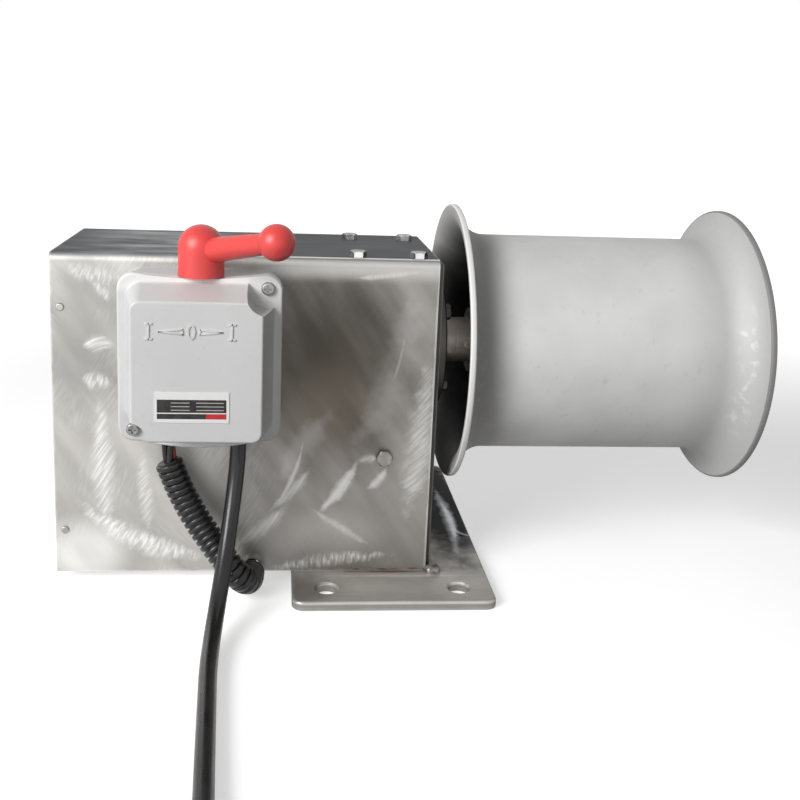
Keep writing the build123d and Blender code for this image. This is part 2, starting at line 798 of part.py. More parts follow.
# Main shaft: inner journal, gear seat, bearing seat and drum seat
drum_mid_x = (hub_x0 + hub_x1) / 2
output_mid_x = (output_x0 + output_x1) / 2
with BuildPart() as main_shaft:
    for x0, x1, dia in (
        (partition_x0, partition_x1 + end_float, output_journal_dia),
        (partition_x1 + end_float, wall_x, output_seat_dia),
        (wall_x, end_x1, main_bearing_bore),
        (end_x1, hub_x1, drum_shaft_dia),
    ):
        with Locations((x0, axis_y, axis_z)):
            Cylinder(dia / 2, x1 - x0, rotation=ALONG_X, align=START)
    with Locations((output_mid_x, axis_y, axis_z + output_seat_dia / 2 - key_shaft_depth)):
        Box(output_face, key_width, key_height, align=START, mode=Mode.SUBTRACT)
    with Locations((drum_mid_x, axis_y, axis_z + drum_shaft_dia / 2 - drum_key_shaft_depth)):
        Box(drum_key_length, drum_key_width, drum_key_height, align=START, mode=Mode.SUBTRACT)
    with Locations((hub_x0 - shaft_pin_dia / 2, axis_y, axis_z)):
        Cylinder(shaft_pin_dia / 2, drum_shaft_dia, rotation=TO_FRONT, mode=Mode.SUBTRACT)
    with Locations((hub_x1 - end_bolt_grip, axis_y, axis_z)):
        Cylinder(
            end_bolt_dia / 2 + thread_gap,
            end_bolt_grip,
            rotation=ALONG_X,
            align=START,
            mode=Mode.SUBTRACT,
        )
write(main_shaft, "main_shaft")

half_tooth_angle = 180.0 / wheel_teeth
with BuildPart() as output_gear:
    with BuildSketch(Plane.YZ.offset(output_x0)):
        with Locations((axis_y, axis_z)):
            add(gear_outline(wheel_teeth, -90.0 + half_tooth_angle))
            Circle(output_seat_dia / 2, mode=Mode.SUBTRACT)
    extrude(amount=output_face)
    with Locations((output_mid_x, axis_y, axis_z + output_seat_dia / 2 - key_shaft_depth)):
        Box(output_face, key_width, key_height, align=START, mode=Mode.SUBTRACT)
write(output_gear, "output_gear")

with BuildPart() as output_key:
    with Locations((output_mid_x, axis_y, axis_z + output_seat_dia / 2 - key_shaft_depth)):
        Box(output_face, key_width, key_height, align=START)
write(output_key, "output_key")

# Layshaft with its pinion in one piece, and the wheel pressed on it
with BuildPart() as layshaft:
    for x0, x1, dia in (
        (motor_x1, case_x0 + end_float, layshaft_journal_dia),
        (case_x0 + end_float, wall_x - end_float, layshaft_body_dia),
        (wall_x - end_float, end_x0, layshaft_journal_dia),
    ):
        with Locations((x0, axis_y, layshaft_z)):
            Cylinder(dia / 2, x1 - x0, rotation=ALONG_X, align=START)
    with BuildSketch(Plane.YZ.offset(output_x0 - end_float)):
        with Locations((axis_y, layshaft_z)):
            add(gear_outline(pinion_teeth, 90.0))
    extrude(amount=output_face + 2 * end_float)
write(layshaft, "layshaft")

with BuildPart() as layshaft_wheel:
    with BuildSketch(Plane.YZ.offset(first_x0)):
        with Locations((axis_y, layshaft_z)):
            add(gear_outline(wheel_teeth, 90.0 + half_tooth_angle))
            Circle(layshaft_body_dia / 2, mode=Mode.SUBTRACT)
    extrude(amount=first_face)
write(layshaft_wheel, "layshaft_wheel")

# Motor: rotor with its shaft and pinion
stator_x0 = (motor_x0 + motor_x1 - stator_length) / 2
stator_x1 = stator_x0 + stator_length
rear_bearing_x0 = motor_x0 - rear_bearing_width
with BuildPart() as rotor_shaft:
    for x0, x1, dia in (
        (rear_bearing_x0, motor_x0, rear_bearing_bore),
        (motor_x0, case_x0, rotor_shaft_dia),
        (case_x0, first_x1, motor_pinion_bore),
    ):
        with Locations((x0, axis_y, axis_z)):
            Cylinder(dia / 2, x1 - x0, rotation=ALONG_X, align=START)
write(rotor_shaft, "rotor_shaft")

with BuildPart() as rotor_core:
    with Locations((stator_x0, axis_y, axis_z)):
        Cylinder(stator_bore / 2 - air_gap, stator_length, rotation=ALONG_X, align=START)
        Cylinder(rotor_shaft_dia / 2, stator_length, rotation=ALONG_X, align=START, mode=Mode.SUBTRACT)
write(rotor_core, "rotor_core")

with BuildPart() as motor_pinion:
    with BuildSketch(Plane.YZ.offset(first_x0)):
        with Locations((axis_y, axis_z)):
            add(gear_outline(pinion_teeth, -90.0))
            Circle(motor_pinion_bore / 2, mode=Mode.SUBTRACT)
    extrude(amount=first_face)
write(motor_pinion, "motor_pinion")

# Motor bearings, front and rear
motor_bearings = (
    (motor_x1, motor_flange_thick, rotor_shaft_dia, front_bearing_outside),
    (rear_bearing_x0, rear_bearing_width, rear_bearing_bore, rear_bearing_outside),
)
with BuildPart() as motor_bearing_outers:
    for x, width, bore, outside in motor_bearings:
        with BuildSketch(Plane.YZ.offset(x)):
            with Locations((axis_y, axis_z)):
                Circle(outside / 2)
                Circle(bore / 2 + motor_ring_wall + bearing_ring_gap, mode=Mode.SUBTRACT)
        extrude(amount=width)
write(motor_bearing_outers, "motor_bearing_outers")

with BuildPart() as motor_bearing_inners:
    for x, width, bore, outside in motor_bearings:
        with BuildSketch(Plane.YZ.offset(x)):
            with Locations((axis_y, axis_z)):
                Circle(bore / 2 + motor_ring_wall)
                Circle(bore / 2, mode=Mode.SUBTRACT)
        extrude(amount=width)
write(motor_bearing_inners, "motor_bearing_inners")

with BuildPart() as motor_housing:
    with Locations((motor_x0, axis_y, axis_z)):
        Cylinder(motor_outside / 2, motor_length, rotation=ALONG_X, align=START)
        Cylinder(
            motor_outside / 2 - motor_wall,
            motor_length,
            rotation=ALONG_X,
            align=START,
            mode=Mode.SUBTRACT,
        )
write(motor_housing, "motor_housing")

with BuildPart() as stator_core:
    with Locations((stator_x0, axis_y, axis_z)):
        Cylinder(motor_outside / 2 - motor_wall, stator_length, rotation=ALONG_X, align=START)
        Cylinder(stator_bore / 2, stator_length, rotation=ALONG_X, align=START, mode=Mode.SUBTRACT)
write(stator_core, "stator_core")

winding_inner = stator_bore / 2 + winding_inset
with BuildPart() as stator_windings:
    for x in (stator_x0 - winding_overhang, stator_x1):
        with BuildSketch(Plane.YZ.offset(x)):
            with Locations((axis_y, axis_z)):
                Circle(winding_inner + winding_wall)
                Circle(winding_inner, mode=Mode.SUBTRACT)
        extrude(amount=winding_overhang)
write(stator_windings, "stator_windings")

bell_size = 2 * (tie_bolt_offset + tie_bolt_margin)
with BuildPart() as motor_end_bell:
    with BuildSketch(Plane.YZ.offset(bell_x0)):
        with Locations((axis_y, axis_z)):
            RectangleRounded(bell_size, bell_size, end_bell_corner)
            with GridLocations(2 * tie_bolt_offset, 2 * tie_bolt_offset, 2, 2):
                Circle(m5_dia / 2 + clearance_hole_gap, mode=Mode.SUBTRACT)
    extrude(amount=motor_x0 - bell_x0)
    with Locations((rear_bearing_x0, axis_y, axis_z)):
        Cylinder(
            rear_bearing_outside / 2,
            rear_bearing_width,
            rotation=ALONG_X,
            align=START,
            mode=Mode.SUBTRACT,
        )
write(motor_end_bell, "motor_end_bell")

tie_bolt = cap_screw(m5_dia, m5_head_dia, m5_head, motor_x1 - bell_x0 + m5_grip)
with BuildPart() as motor_tie_bolts:
    for sy in (-1, 1):
        for sz in (-1, 1):
            with Locations(
                Location(
                    (bell_x0, axis_y + sy * tie_bolt_offset, axis_z + sz * tie_bolt_offset),
                    (0, -90, 0),
                )
            ):
                add(tie_bolt)
write(motor_tie_bolts, "motor_tie_bolts")

# Start capacitor in its clamp, on the casing's floor
capacitor_x0 = casing_x0 + capacitor_from_left
capacitor_z = inner_z0 + capacitor_lift + capacitor_dia / 2
with BuildPart() as capacitor:
    with Locations((capacitor_x0, axis_y, capacitor_z)):
        Cylinder(capacitor_dia / 2, capacitor_length, rotation=ALONG_X, align=START)
    fillet(capacitor.edges(), capacitor_lift)
write(capacitor, "capacitor")

clamp_x0 = capacitor_x0 + (capacitor_length - clamp_width) / 2
with BuildPart() as capacitor_clamp:
    with Locations((clamp_x0, axis_y, capacitor_z)):
        Cylinder(capacitor_dia / 2 + clamp_band, clamp_width, rotation=ALONG_X, align=START)
    with Locations((clamp_x0, axis_y, inner_z0)):
        Box(clamp_width, clamp_foot_length, capacitor_lift, align=(Align.MIN, Align.CENTER, Align.MIN))
    with Locations((clamp_x0, axis_y, capacitor_z)):
        Cylinder(
            capacitor_dia / 2 + thread_gap,
            clamp_width,
            rotation=ALONG_X,
            align=START,
            mode=Mode.SUBTRACT,
        )
write(capacitor_clamp, "capacitor_clamp")

# Drum: a spun barrel with a flared mouth at each end
rim = drum_rim_dia / 2
barrel = drum_barrel_dia / 2
flare = rim - barrel
left_bend = drum_x0 + drum_wall + flare
right_bend = drum_x1 - drum_wall - flare
outer_mid = flare * cos(pi / 4)
inner_mid = (flare + drum_wall) * cos(pi / 4)
drum_section = Plane(origin=(0, axis_y, axis_z), x_dir=(1, 0, 0), z_dir=(0, -1, 0))
with BuildPart() as drum_shell:
    with BuildSketch(drum_section):
        with BuildLine():
            ThreePointArc(
                (drum_x0 + drum_wall, rim),
                (left_bend - outer_mid, rim - outer_mid),
                (left_bend, barrel),
            )
            Line((left_bend, barrel), (right_bend, barrel))
            ThreePointArc(
                (right_bend, barrel),
                (right_bend + outer_mid, rim - outer_mid),
                (drum_x1 - drum_wall, rim),
            )
            Line((drum_x1 - drum_wall, rim), (drum_x1, rim))
            ThreePointArc(
                (drum_x1, rim),
                (right_bend + inner_mid, rim - inner_mid),
                (right_bend, barrel - drum_wall),
            )
            Line((right_bend, barrel - drum_wall), (left_bend, barrel - drum_wall))
            ThreePointArc(
                (left_bend, barrel - drum_wall),
                (left_bend - inner_mid, rim - inner_mid),
                (drum_x0, rim),
            )
            Line((drum_x0, rim), (drum_x0 + drum_wall, rim))
        make_face()
    revolve(axis=Axis((0, axis_y, axis_z), (1, 0, 0)))
    circles = drum_shell.edges().filter_by(GeomType.CIRCLE)
    fillet(circles.filter_by(lambda edge: abs(edge.radius - rim) < thread_gap), drum_rim_round)
write(drum_shell, "drum_shell")

with BuildPart() as drum_webs:
    for x in (drum_x0 + web_inset, drum_x1 - web_inset - web_thick):
        with BuildSketch(Plane.YZ.offset(x)):
            with Locations((axis_y, axis_z)):
                Circle(barrel - drum_wall - thread_gap)
                Circle(hub_dia / 2, mode=Mode.SUBTRACT)
        extrude(amount=web_thick)
write(drum_webs, "drum_webs")

with BuildPart() as drum_hub:
    with Locations((hub_x0, axis_y, axis_z)):
        Cylinder(hub_dia / 2, hub_x1 - hub_x0, rotation=ALONG_X, align=START)
        Cylinder(
            drum_shaft_dia / 2 + thread_gap,
            hub_x1 - hub_x0,
            rotation=ALONG_X,
            align=START,
            mode=Mode.SUBTRACT,
        )
    with Locations((drum_mid_x, axis_y, axis_z + drum_shaft_dia / 2 - drum_key_shaft_depth)):
        Box(drum_key_length, drum_key_width, drum_key_height, align=START, mode=Mode.SUBTRACT)
write(drum_hub, "drum_hub")

with BuildPart() as drum_key:
    with Locations((drum_mid_x, axis_y, axis_z + drum_shaft_dia / 2 - drum_key_shaft_depth)):
        Box(drum_key_length, drum_key_width, drum_key_height, align=START)
write(drum_key, "drum_key")

with BuildPart() as shaft_pin:
    with Locations((hub_x0 - shaft_pin_dia / 2, axis_y, axis_z)):
        Cylinder(shaft_pin_dia / 2 - thread_gap, drum_shaft_dia + shaft_pin_dia, rotation=TO_FRONT)
write(shaft_pin, "shaft_pin")

with BuildPart() as drum_end_washer:
    with Locations((hub_x1, axis_y, axis_z)):
        Cylinder(end_washer_dia / 2, end_washer_thick, rotation=ALONG_X, align=START)
        Cylinder(
            end_bolt_dia / 2 + clearance_hole_gap,
            end_washer_thick,
            rotation=ALONG_X,
            align=START,
            mode=Mode.SUBTRACT,
        )
write(drum_end_washer, "drum_end_washer")

with BuildPart() as drum_end_bolt:
    with Locations(Location((hub_x1 + end_washer_thick, axis_y, axis_z), ALONG_X)):
        add(m10_end_bolt)
write(drum_end_bolt, "drum_end_bolt")

# Reversing switch: base on the casing's front, with the spindle in the parting plane
spindle_y = casing_y0 - switch_base_depth
rim_front_y = spindle_y - cover_rim_depth
face_y = rim_front_y - cover_raise
switch_top = switch_z + switch_height / 2
switch_bottom = switch_z - switch_height / 2
base_bottom = switch_bottom + switch_base_step
dip_radius = (top_dip_chord**2 / 4 + top_dip**2) / (2 * top_dip)
dip_centre_z = switch_top - top_dip + dip_radius
cable_x = switch_x + cable_from_middle
cable_y = casing_y0 - cable_from_panel
cover_screw_points = [(switch_x + s * cover_screw_x, switch_z + s * cover_screw_z) for s in (-1, 1)]
base_width = switch_width - 2 * switch_base_step
base_height = switch_height - 2 * switch_base_step
cavity_width = switch_width - 2 * (switch_base_step + switch_wall)
cavity_height = base_height - switch_wall - switch_top_wall
cavity_z = base_bottom + switch_wall + cavity_height / 2
with BuildPart() as switch_base:
    with BuildSketch(Plane.XZ.offset(-casing_y0)):
        with Locations((switch_x, switch_z)):
            RectangleRounded(base_width, base_height, switch_corner - switch_base_step)
    extrude(amount=switch_base_depth)
    with BuildSketch(Plane.XZ.offset(switch_wall - casing_y0)):
        with Locations((switch_x, cavity_z)):
            RectangleRounded(cavity_width, cavity_height, switch_wall)
    extrude(amount=switch_base_depth, mode=Mode.SUBTRACT)
    with BuildSketch(Plane.XZ.offset(-casing_y0)):
        with Locations(*cover_screw_points):
            Circle(pillar_radius)
        with Locations((switch_x, switch_z)):
            RectangleRounded(base_width, base_height, switch_corner - switch_base_step, mode=Mode.INTERSECT)
    extrude(amount=switch_base_depth)
    with BuildSketch(Plane.XZ.offset(-spindle_y)):
        with Locations(*cover_screw_points):
            Circle(cover_screw_dia / 2 + thread_gap)
    extrude(amount=-cover_screw_grip, mode=Mode.SUBTRACT)
    with BuildSketch(Plane.XZ.offset(-casing_y0)):
        with Locations(*mount_screw_points):
            Circle(m5_dia / 2 + clearance_hole_gap)
    extrude(amount=switch_wall, mode=Mode.SUBTRACT)
    with Locations((switch_x, spindle_y, dip_centre_z)):
        Cylinder(dip_radius, 4 * switch_base_depth, rotation=TO_FRONT, mode=Mode.SUBTRACT)
    with Locations((switch_x, spindle_y, switch_top)):
        Cylinder(spindle_dia / 2 + running_fit, 4 * switch_top_wall, mode=Mode.SUBTRACT)
    with Locations((wire_hole_x, wire_hole_y, base_bottom)):
        Cylinder(wire_bundle_dia / 2 + wire_hole_gap, 3 * switch_wall, mode=Mode.SUBTRACT)
    with Locations((cable_x, cable_y, base_bottom)):
        Cylinder(cable_dia / 2 + bush_flange, 3 * switch_wall, mode=Mode.SUBTRACT)
write(switch_base, "switch_base")

# Cover: a rim with a raised face, and a pocket at each of its two screws
foot_width = switch_width - 2 * cover_foot_inset
foot_height = switch_height - 2 * cover_foot_inset
face_z = switch_z - face_drop
with BuildPart() as cover_hollow:
    with BuildSketch(Plane.XZ.offset(-rim_front_y)):
        with Locations((switch_x, switch_z)):
            RectangleRounded(foot_width - 4 * switch_wall, foot_height - 4 * switch_wall, face_corner)
    with BuildSketch(Plane.XZ.offset(switch_wall - rim_front_y - 2 * switch_wall + cover_raise)):
        with Locations((switch_x, face_z)):
            RectangleRounded(face_width - 2 * switch_wall, face_height - 2 * switch_wall, face_corner)
    loft(ruled=True)
    with BuildSketch(Plane.XZ.offset(-rim_front_y)):
        with Locations((switch_x, cavity_z)):
            RectangleRounded(foot_width - 4 * switch_wall, cavity_height, face_corner)
    extrude(amount=-2 * cover_rim_depth)
    with BuildSketch(Plane.XZ.offset(-spindle_y - cover_rim_depth)):
        with Locations(*cover_screw_points):
            Circle(screw_pocket_radius + switch_wall)
    extrude(amount=cover_raise + 2 * cover_rim_depth, both=True, mode=Mode.SUBTRACT)

with BuildPart() as switch_cover:
    with BuildSketch(Plane.XZ.offset(-spindle_y)):
        with Locations((switch_x, switch_z)):
            RectangleRounded(switch_width, switch_height, switch_corner)
        with BuildLine():
            ThreePointArc(
                (switch_x - lip_width / 2, switch_bottom),
                (switch_x, switch_bottom - lip_drop),
                (switch_x + lip_width / 2, switch_bottom),
            )
            Line((switch_x + lip_width / 2, switch_bottom), (switch_x - lip_width / 2, switch_bottom))
        make_face()
    extrude(amount=cover_rim_depth)
    fillet(switch_cover.faces().sort_by(Axis.Y)[0].edges(), cover_edge_round)
    with BuildSketch(Plane.XZ.offset(-rim_front_y)):
        with Locations((switch_x, switch_z)):
            RectangleRounded(foot_width, foot_height, switch_corner)
    with BuildSketch(Plane.XZ.offset(-face_y)):
        with Locations((switch_x, face_z)):
            RectangleRounded(face_width, face_height, face_corner)
    loft(ruled=True)
    fillet(switch_cover.faces().sort_by(Axis.Y)[0].edges(), cover_edge_round)
    add(cover_hollow.part, mode=Mode.SUBTRACT)
    with BuildSketch(Plane.XZ.offset(-rim_front_y)):
        with Locations(*cover_screw_points):
            Circle(screw_pocket_radius)
    extrude(amount=2 * cover_raise, mode=Mode.SUBTRACT)
    with BuildSketch(Plane.XZ.offset(-spindle_y)):
        with Locations(*cover_screw_points):
            Circle(cover_screw_dia / 2 + clearance_hole_gap)
    extrude(amount=cover_rim_depth, mode=Mode.SUBTRACT)
    with Locations((switch_x, spindle_y, dip_centre_z)):
        Cylinder(dip_radius, 4 * switch_base_depth, rotation=TO_FRONT, mode=Mode.SUBTRACT)
    with Locations((switch_x, spindle_y, switch_top)):
        Cylinder(spindle_dia / 2 + running_fit, 4 * switch_top_wall, mode=Mode.SUBTRACT)
write(switch_cover, "switch_cover")

with BuildPart() as cover_screw:
    Cylinder(cover_screw_head_dia / 2, cover_screw_head, align=START)
    fillet(cover_screw.edges().group_by(Axis.Z)[-1], cover_screw_head / 2)
    with Locations((0, 0, cover_screw_head)):
        Box(cover_screw_head_dia * 0.6, screw_slot, 2 * screw_slot, mode=Mode.SUBTRACT)
        Box(screw_slot, cover_screw_head_dia * 0.6, 2 * screw_slot, mode=Mode.SUBTRACT)
    Cylinder(
        cover_screw_dia / 2,
        cover_rim_depth + cover_screw_grip,
        rotation=(180, 0, 0),
        align=START,
    )

with BuildPart() as cover_screws:
    with Locations(*[Location((x, rim_front_y, z), TO_FRONT) for x, z in cover_screw_points]):
        add(cover_screw.part)
write(cover_screws, "cover_screws")

with BuildPart() as switch_screws:
    with Locations(*[Location((x, casing_y0 - switch_wall, z), TO_FRONT) for x, z in mount_screw_points]):
        add(panel_screw)
write(switch_screws, "switch_screws")

with BuildPart() as rating_plate:
    with BuildSketch(Plane.XZ.offset(-face_y)):
        with Locations((switch_x + label_x, switch_z + label_z)):
            Rectangle(label_width, label_height)
    extrude(amount=label_thick)
write(rating_plate, "rating_plate")

# Handle: a domed hub with a tapered arm that ends in a ball
handle_z0 = switch_top - top_dip + hub_handle_lift
arm_x = cos(radians(handle_turn))
arm_y = sin(radians(handle_turn))
arm_start = Vector(switch_x, spindle_y, handle_z0 + arm_start_height)
ball_centre = Vector(
    switch_x + ball_reach * arm_x,
    spindle_y + ball_reach * arm_y,
    handle_z0 + ball_height,
)
spindle_z0 = base_bottom + switch_wall + spindle_foot_gap
spindle_z1 = handle_z0 + spindle_socket_depth
with BuildPart() as switch_handle:
    with Locations((switch_x, spindle_y, handle_z0)):
        Cylinder(hub_handle_radius, hub_handle_height, align=START)
    with Locations((switch_x, spindle_y, handle_z0 + hub_handle_height)):
        Sphere(hub_handle_radius)
    with BuildSketch(Plane(origin=arm_start, z_dir=ball_centre - arm_start)):
        Circle(arm_root_radius)
    with BuildSketch(Plane(origin=ball_centre, z_dir=ball_centre - arm_start)):
        Circle(arm_tip_radius)
    loft()
    with Locations(ball_centre):
        Sphere(ball_radius)
    with Locations((switch_x, spindle_y, handle_z0)):
        Cylinder(
            spindle_dia / 2,
            spindle_socket_depth,
            align=START,
            mode=Mode.SUBTRACT,
        )
write(switch_handle, "switch_handle")

# Contact drum on the handle's spindle, its moving contacts, and the fixed fingers
cam_z0 = cavity_z - cam_height / 2
contact_zs = [cavity_z + contact_pitch * (index - (contact_count - 1) / 2) for index in range(contact_count)]
with BuildPart() as contact_drum:
    with Locations((switch_x, spindle_y, spindle_z0)):
        Cylinder(spindle_dia / 2, spindle_z1 - spindle_z0, align=START)
    with Locations((switch_x, spindle_y, cam_z0)):
        Cylinder(cam_radius, cam_height, align=START)
write(contact_drum, "contact_drum")

with BuildPart() as moving_contacts:
    for z in contact_zs:
        with BuildSketch(Plane.XY.offset(z - contact_height / 2)):
            with Locations((switch_x, spindle_y)):
                Circle(cam_radius + contact_thick)
                Circle(cam_radius, mode=Mode.SUBTRACT)
                with Locations((0, -cam_radius)):
                    Rectangle(4 * cam_radius, cam_radius, mode=Mode.SUBTRACT)
        extrude(amount=contact_height)
write(moving_contacts, "moving_contacts")

finger_reach = cam_radius + contact_thick + contact_gap
with BuildPart() as fixed_contacts:
    for z in contact_zs:
        for side in (-1, 1):
            with Locations((switch_x + side * (finger_reach + finger_thick / 2), casing_y0 - switch_wall, z)):
                Box(
                    finger_thick,
                    switch_base_depth - switch_wall,
                    contact_height,
                    align=(Align.CENTER, Align.MAX, Align.CENTER),
                )
write(fixed_contacts, "fixed_contacts")

# Conduit with its ribs, and the wires inside it
conduit_radii = bend_radii(conduit_points)
print("conduit radii", [round(radius, 1) for radius in conduit_radii])
with BuildLine() as conduit_route:
    FilletPolyline(*conduit_points, radius=conduit_radii)
conduit_path = conduit_route.wire()
rib_count = int(conduit_path.length / rib_pitch)
steady_x = Vector(0.87, 0.0, 0.5)


def conduit_plane(distance):
    """The plane across the conduit at a distance along it."""
    share = min(1.0, distance / conduit_path.length)
    return Plane(
        origin=conduit_path.position_at(share),
        x_dir=steady_x,
        z_dir=conduit_path.tangent_at(share),
    )


pitch = conduit_path.length / rib_count
rib_outline = (
    (0.0, conduit_valley),
    (0.3, conduit_valley),
    (0.45, conduit_outside),
    (0.85, conduit_outside),
)
with BuildPart() as conduit:
    for index in range(rib_count):
        for share, dia in rib_outline:
            with BuildSketch(conduit_plane((index + share) * pitch)):
                Circle(dia / 2)
    with BuildSketch(conduit_plane(conduit_path.length)):
        Circle(conduit_valley / 2)
    loft(ruled=True)
    with BuildSketch(conduit_plane(0.0)):
        Circle(conduit_bore / 2)
    sweep(path=conduit_path, mode=Mode.SUBTRACT)
write(conduit, "conduit")

wire_points = [
    (wire_hole_x, wire_hole_y, base_bottom + switch_wall),
    *conduit_points[:-1],
    (conduit_x_end, inner_y0 + wire_inside_run, conduit_z_end),
]
wire_radii = bend_radii(wire_points)
print("wire radii", [round(radius, 1) for radius in wire_radii])
with BuildLine() as wire_route:
    FilletPolyline(*wire_points, radius=wire_radii)
with BuildPart() as wire_bundle:
    with BuildSketch(Plane.XY.offset(base_bottom + switch_wall)):
        with Locations((wire_hole_x, wire_hole_y)):
            Circle(wire_bundle_dia / 2)
    sweep(path=wire_route.wire())
write(wire_bundle, "wire_bundle")

# Bush where the power cable leaves the switch
with BuildPart() as cable_bush:
    with Locations((cable_x, cable_y, base_bottom)):
        Cylinder(cable_dia / 2 + bush_flange, switch_wall + bush_sleeve, align=START)
        Cone(
            cable_dia / 2 + 2 * bush_flange,
            cable_dia / 2 + bush_flange / 2,
            bush_cone,
            rotation=(180, 0, 0),
            align=START,
        )
        Cylinder(cable_dia / 2, 4 * bush_cone, mode=Mode.SUBTRACT)
write(cable_bush, "cable_bush")

# Power cable down to the surface and along it
coil_z = cable_dia / 2 + tie_gap + tie_thick + 0.3
floor_z = cable_dia / 2 + 0.2
coil_start = (-107.0, -398.0, coil_z)
cable_points = [
    (cable_x, cable_y, base_bottom + switch_wall),
    (cable_x, cable_y, 97.0),
    (-104.8, -103.0, 76.0),
    (-107.2, -112.0, 56.0),
    (-109.6, -125.0, 36.5),
    (-112.6, -143.0, 18.5),
    (-114.6, -167.0, 7.5),
    (-114.9, -197.0, floor_z),
    (-113.2, -229.0, floor_z),
    (-111.4, -266.0, floor_z),
    (-109.2, -306.0, floor_z + 0.3),
    (-107.0, -352.0, coil_z),
    coil_start,
]
cable_radii = bend_radii(cable_points)
print("cable radii", [round(radius, 1) for radius in cable_radii])
with BuildLine() as cable_route:
    FilletPolyline(*cable_points, radius=cable_radii)
cable_path = cable_route.wire()
with BuildPart() as power_cable:
    with BuildSketch(Plane(origin=cable_points[0], z_dir=cable_path.tangent_at(0))):
        Circle(cable_dia / 2)
    sweep(path=cable_path)
cable_section = pi * cable_dia**2 / 4
print("cable volume over section times length", power_cable.part.volume / (cable_section * cable_path.length))
write(power_cable, "power_cable")

# Coil of the rest of the cable: half turns that spiral in, climb a layer, and spiral out again
inward = [coil_first_radius - coil_step / 2 * index for index in range(coil_half_turns)]
climb_radius = coil_first_radius - coil_step / 2 * coil_half_turns
outward = list(reversed(inward[1:]))
last_radius = coil_first_radius
half_turns = [(radius, 0.0) for radius in inward] + [(climb_radius, coil_layer)] + [(r, 0.0) for r in outward]
with BuildLine() as coil_route:
    x, y, z = coil_start
    heading = 1
    for radius, rise in half_turns:
        end = (x + heading * 2 * radius, y, z + rise)
        middle = (x + heading * radius, y - heading * sqrt(radius**2 + rise**2 / 4), z + rise / 2)
        ThreePointArc((x, y, z), middle, end)
        x, y, z = end
        heading = -heading
    quarter_end = (x + last_radius, y - last_radius, z)
    ThreePointArc(
        (x, y, z),
        (x + last_radius * (1 - cos(pi / 4)), y - last_radius * sin(pi / 4), z),
        quarter_end,
    )
    plug_start = (quarter_end[0] + plug_lead, quarter_end[1], z)
    Line(quarter_end, plug_start)
coil_path = coil_route.wire()
with BuildPart() as cable_coil:
    with BuildSketch(Plane(origin=coil_start, z_dir=(0, -1, 0))):
        Circle(cable_dia / 2)
    sweep(path=coil_path)
samples = 500
coil_points = [coil_path.position_at(index / samples) for index in range(samples + 1)]
apart = int(samples * 4 * cable_dia / coil_path.length) + 1
least_gap = min(
    (coil_points[i] - coil_points[j]).length - cable_dia
    for i in range(samples + 1)
    for j in range(i + apart, samples + 1)
)
print("coil least gap", round(least_gap, 2), "coil length", round(coil_path.length, 1))
print("cable length", round(cable_path.length + coil_path.length, 1))
write(cable_coil, "cable_coil")

# Tie round the coil's turns on the side away from the free cable
tie_x1 = coil_start[0] + 2 * inward[0] + cable_dia / 2 + tie_side_gap
tie_x0 = coil_start[0] + 2 * climb_radius + 2 * coil_step - cable_dia / 2 - tie_side_gap
tie_height = coil_layer + cable_dia + 2 * tie_gap
tie_mid_z = coil_z + coil_layer / 2
with BuildPart() as coil_tie:
    with BuildSketch(Plane.XZ.offset(-coil_start[1] - tie_width / 2)):
        with Locations(((tie_x0 + tie_x1) / 2, tie_mid_z)):
            RectangleRounded(tie_x1 - tie_x0 + 2 * tie_thick, tie_height + 2 * tie_thick, 2 * tie_thick)
            RectangleRounded(tie_x1 - tie_x0, tie_height, tie_thick, mode=Mode.SUBTRACT)
    extrude(amount=tie_width)
write(coil_tie, "coil_tie")

# Plug on the cable's end, lying on the surface
plug_x0, plug_y, plug_z = plug_start
plug_half = plug_z - plug_floor_gap
with BuildPart() as plug_body:
    with Locations((plug_x0 + plug_boot_length, plug_y, plug_z)):
        Box(plug_length, plug_width, 2 * plug_half, align=(Align.MIN, Align.CENTER, Align.CENTER))
    fillet(plug_body.edges(), plug_round)
    with Locations((plug_x0, plug_y, plug_z)):
        Cone(
            plug_boot_radius,
            1.4 * plug_boot_radius,
            plug_boot_length + plug_round,
            rotation=ALONG_X,
            align=START,
        )
write(plug_body, "plug_body")

pin_x = plug_x0 + plug_boot_length + plug_length
with BuildPart() as plug_pins:
    for dy, dz, turn in (
        (-pin_spread, pin_spread / 2, pin_angle),
        (pin_spread, pin_spread / 2, -pin_angle),
        (0.0, -pin_spread, 0.0),
    ):
        with BuildSketch(Plane.YZ.offset(pin_x)):
            with Locations(Location((plug_y + dy, plug_z + dz), (0, 0, turn))):
                Rectangle(pin_thick, pin_width)
        extrude(amount=pin_length)
write(plug_pins, "plug_pins")
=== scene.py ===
"""Looks of an electric anchor winch: its finishes, cords and turned pieces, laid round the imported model."""

import logging
import math
from bisect import bisect_left
from dataclasses import dataclass, field
from enum import Enum
from functools import reduce
from itertools import accumulate
from typing import Callable, Sequence

import bmesh
import bpy
from mathutils import Matrix, Vector, noise


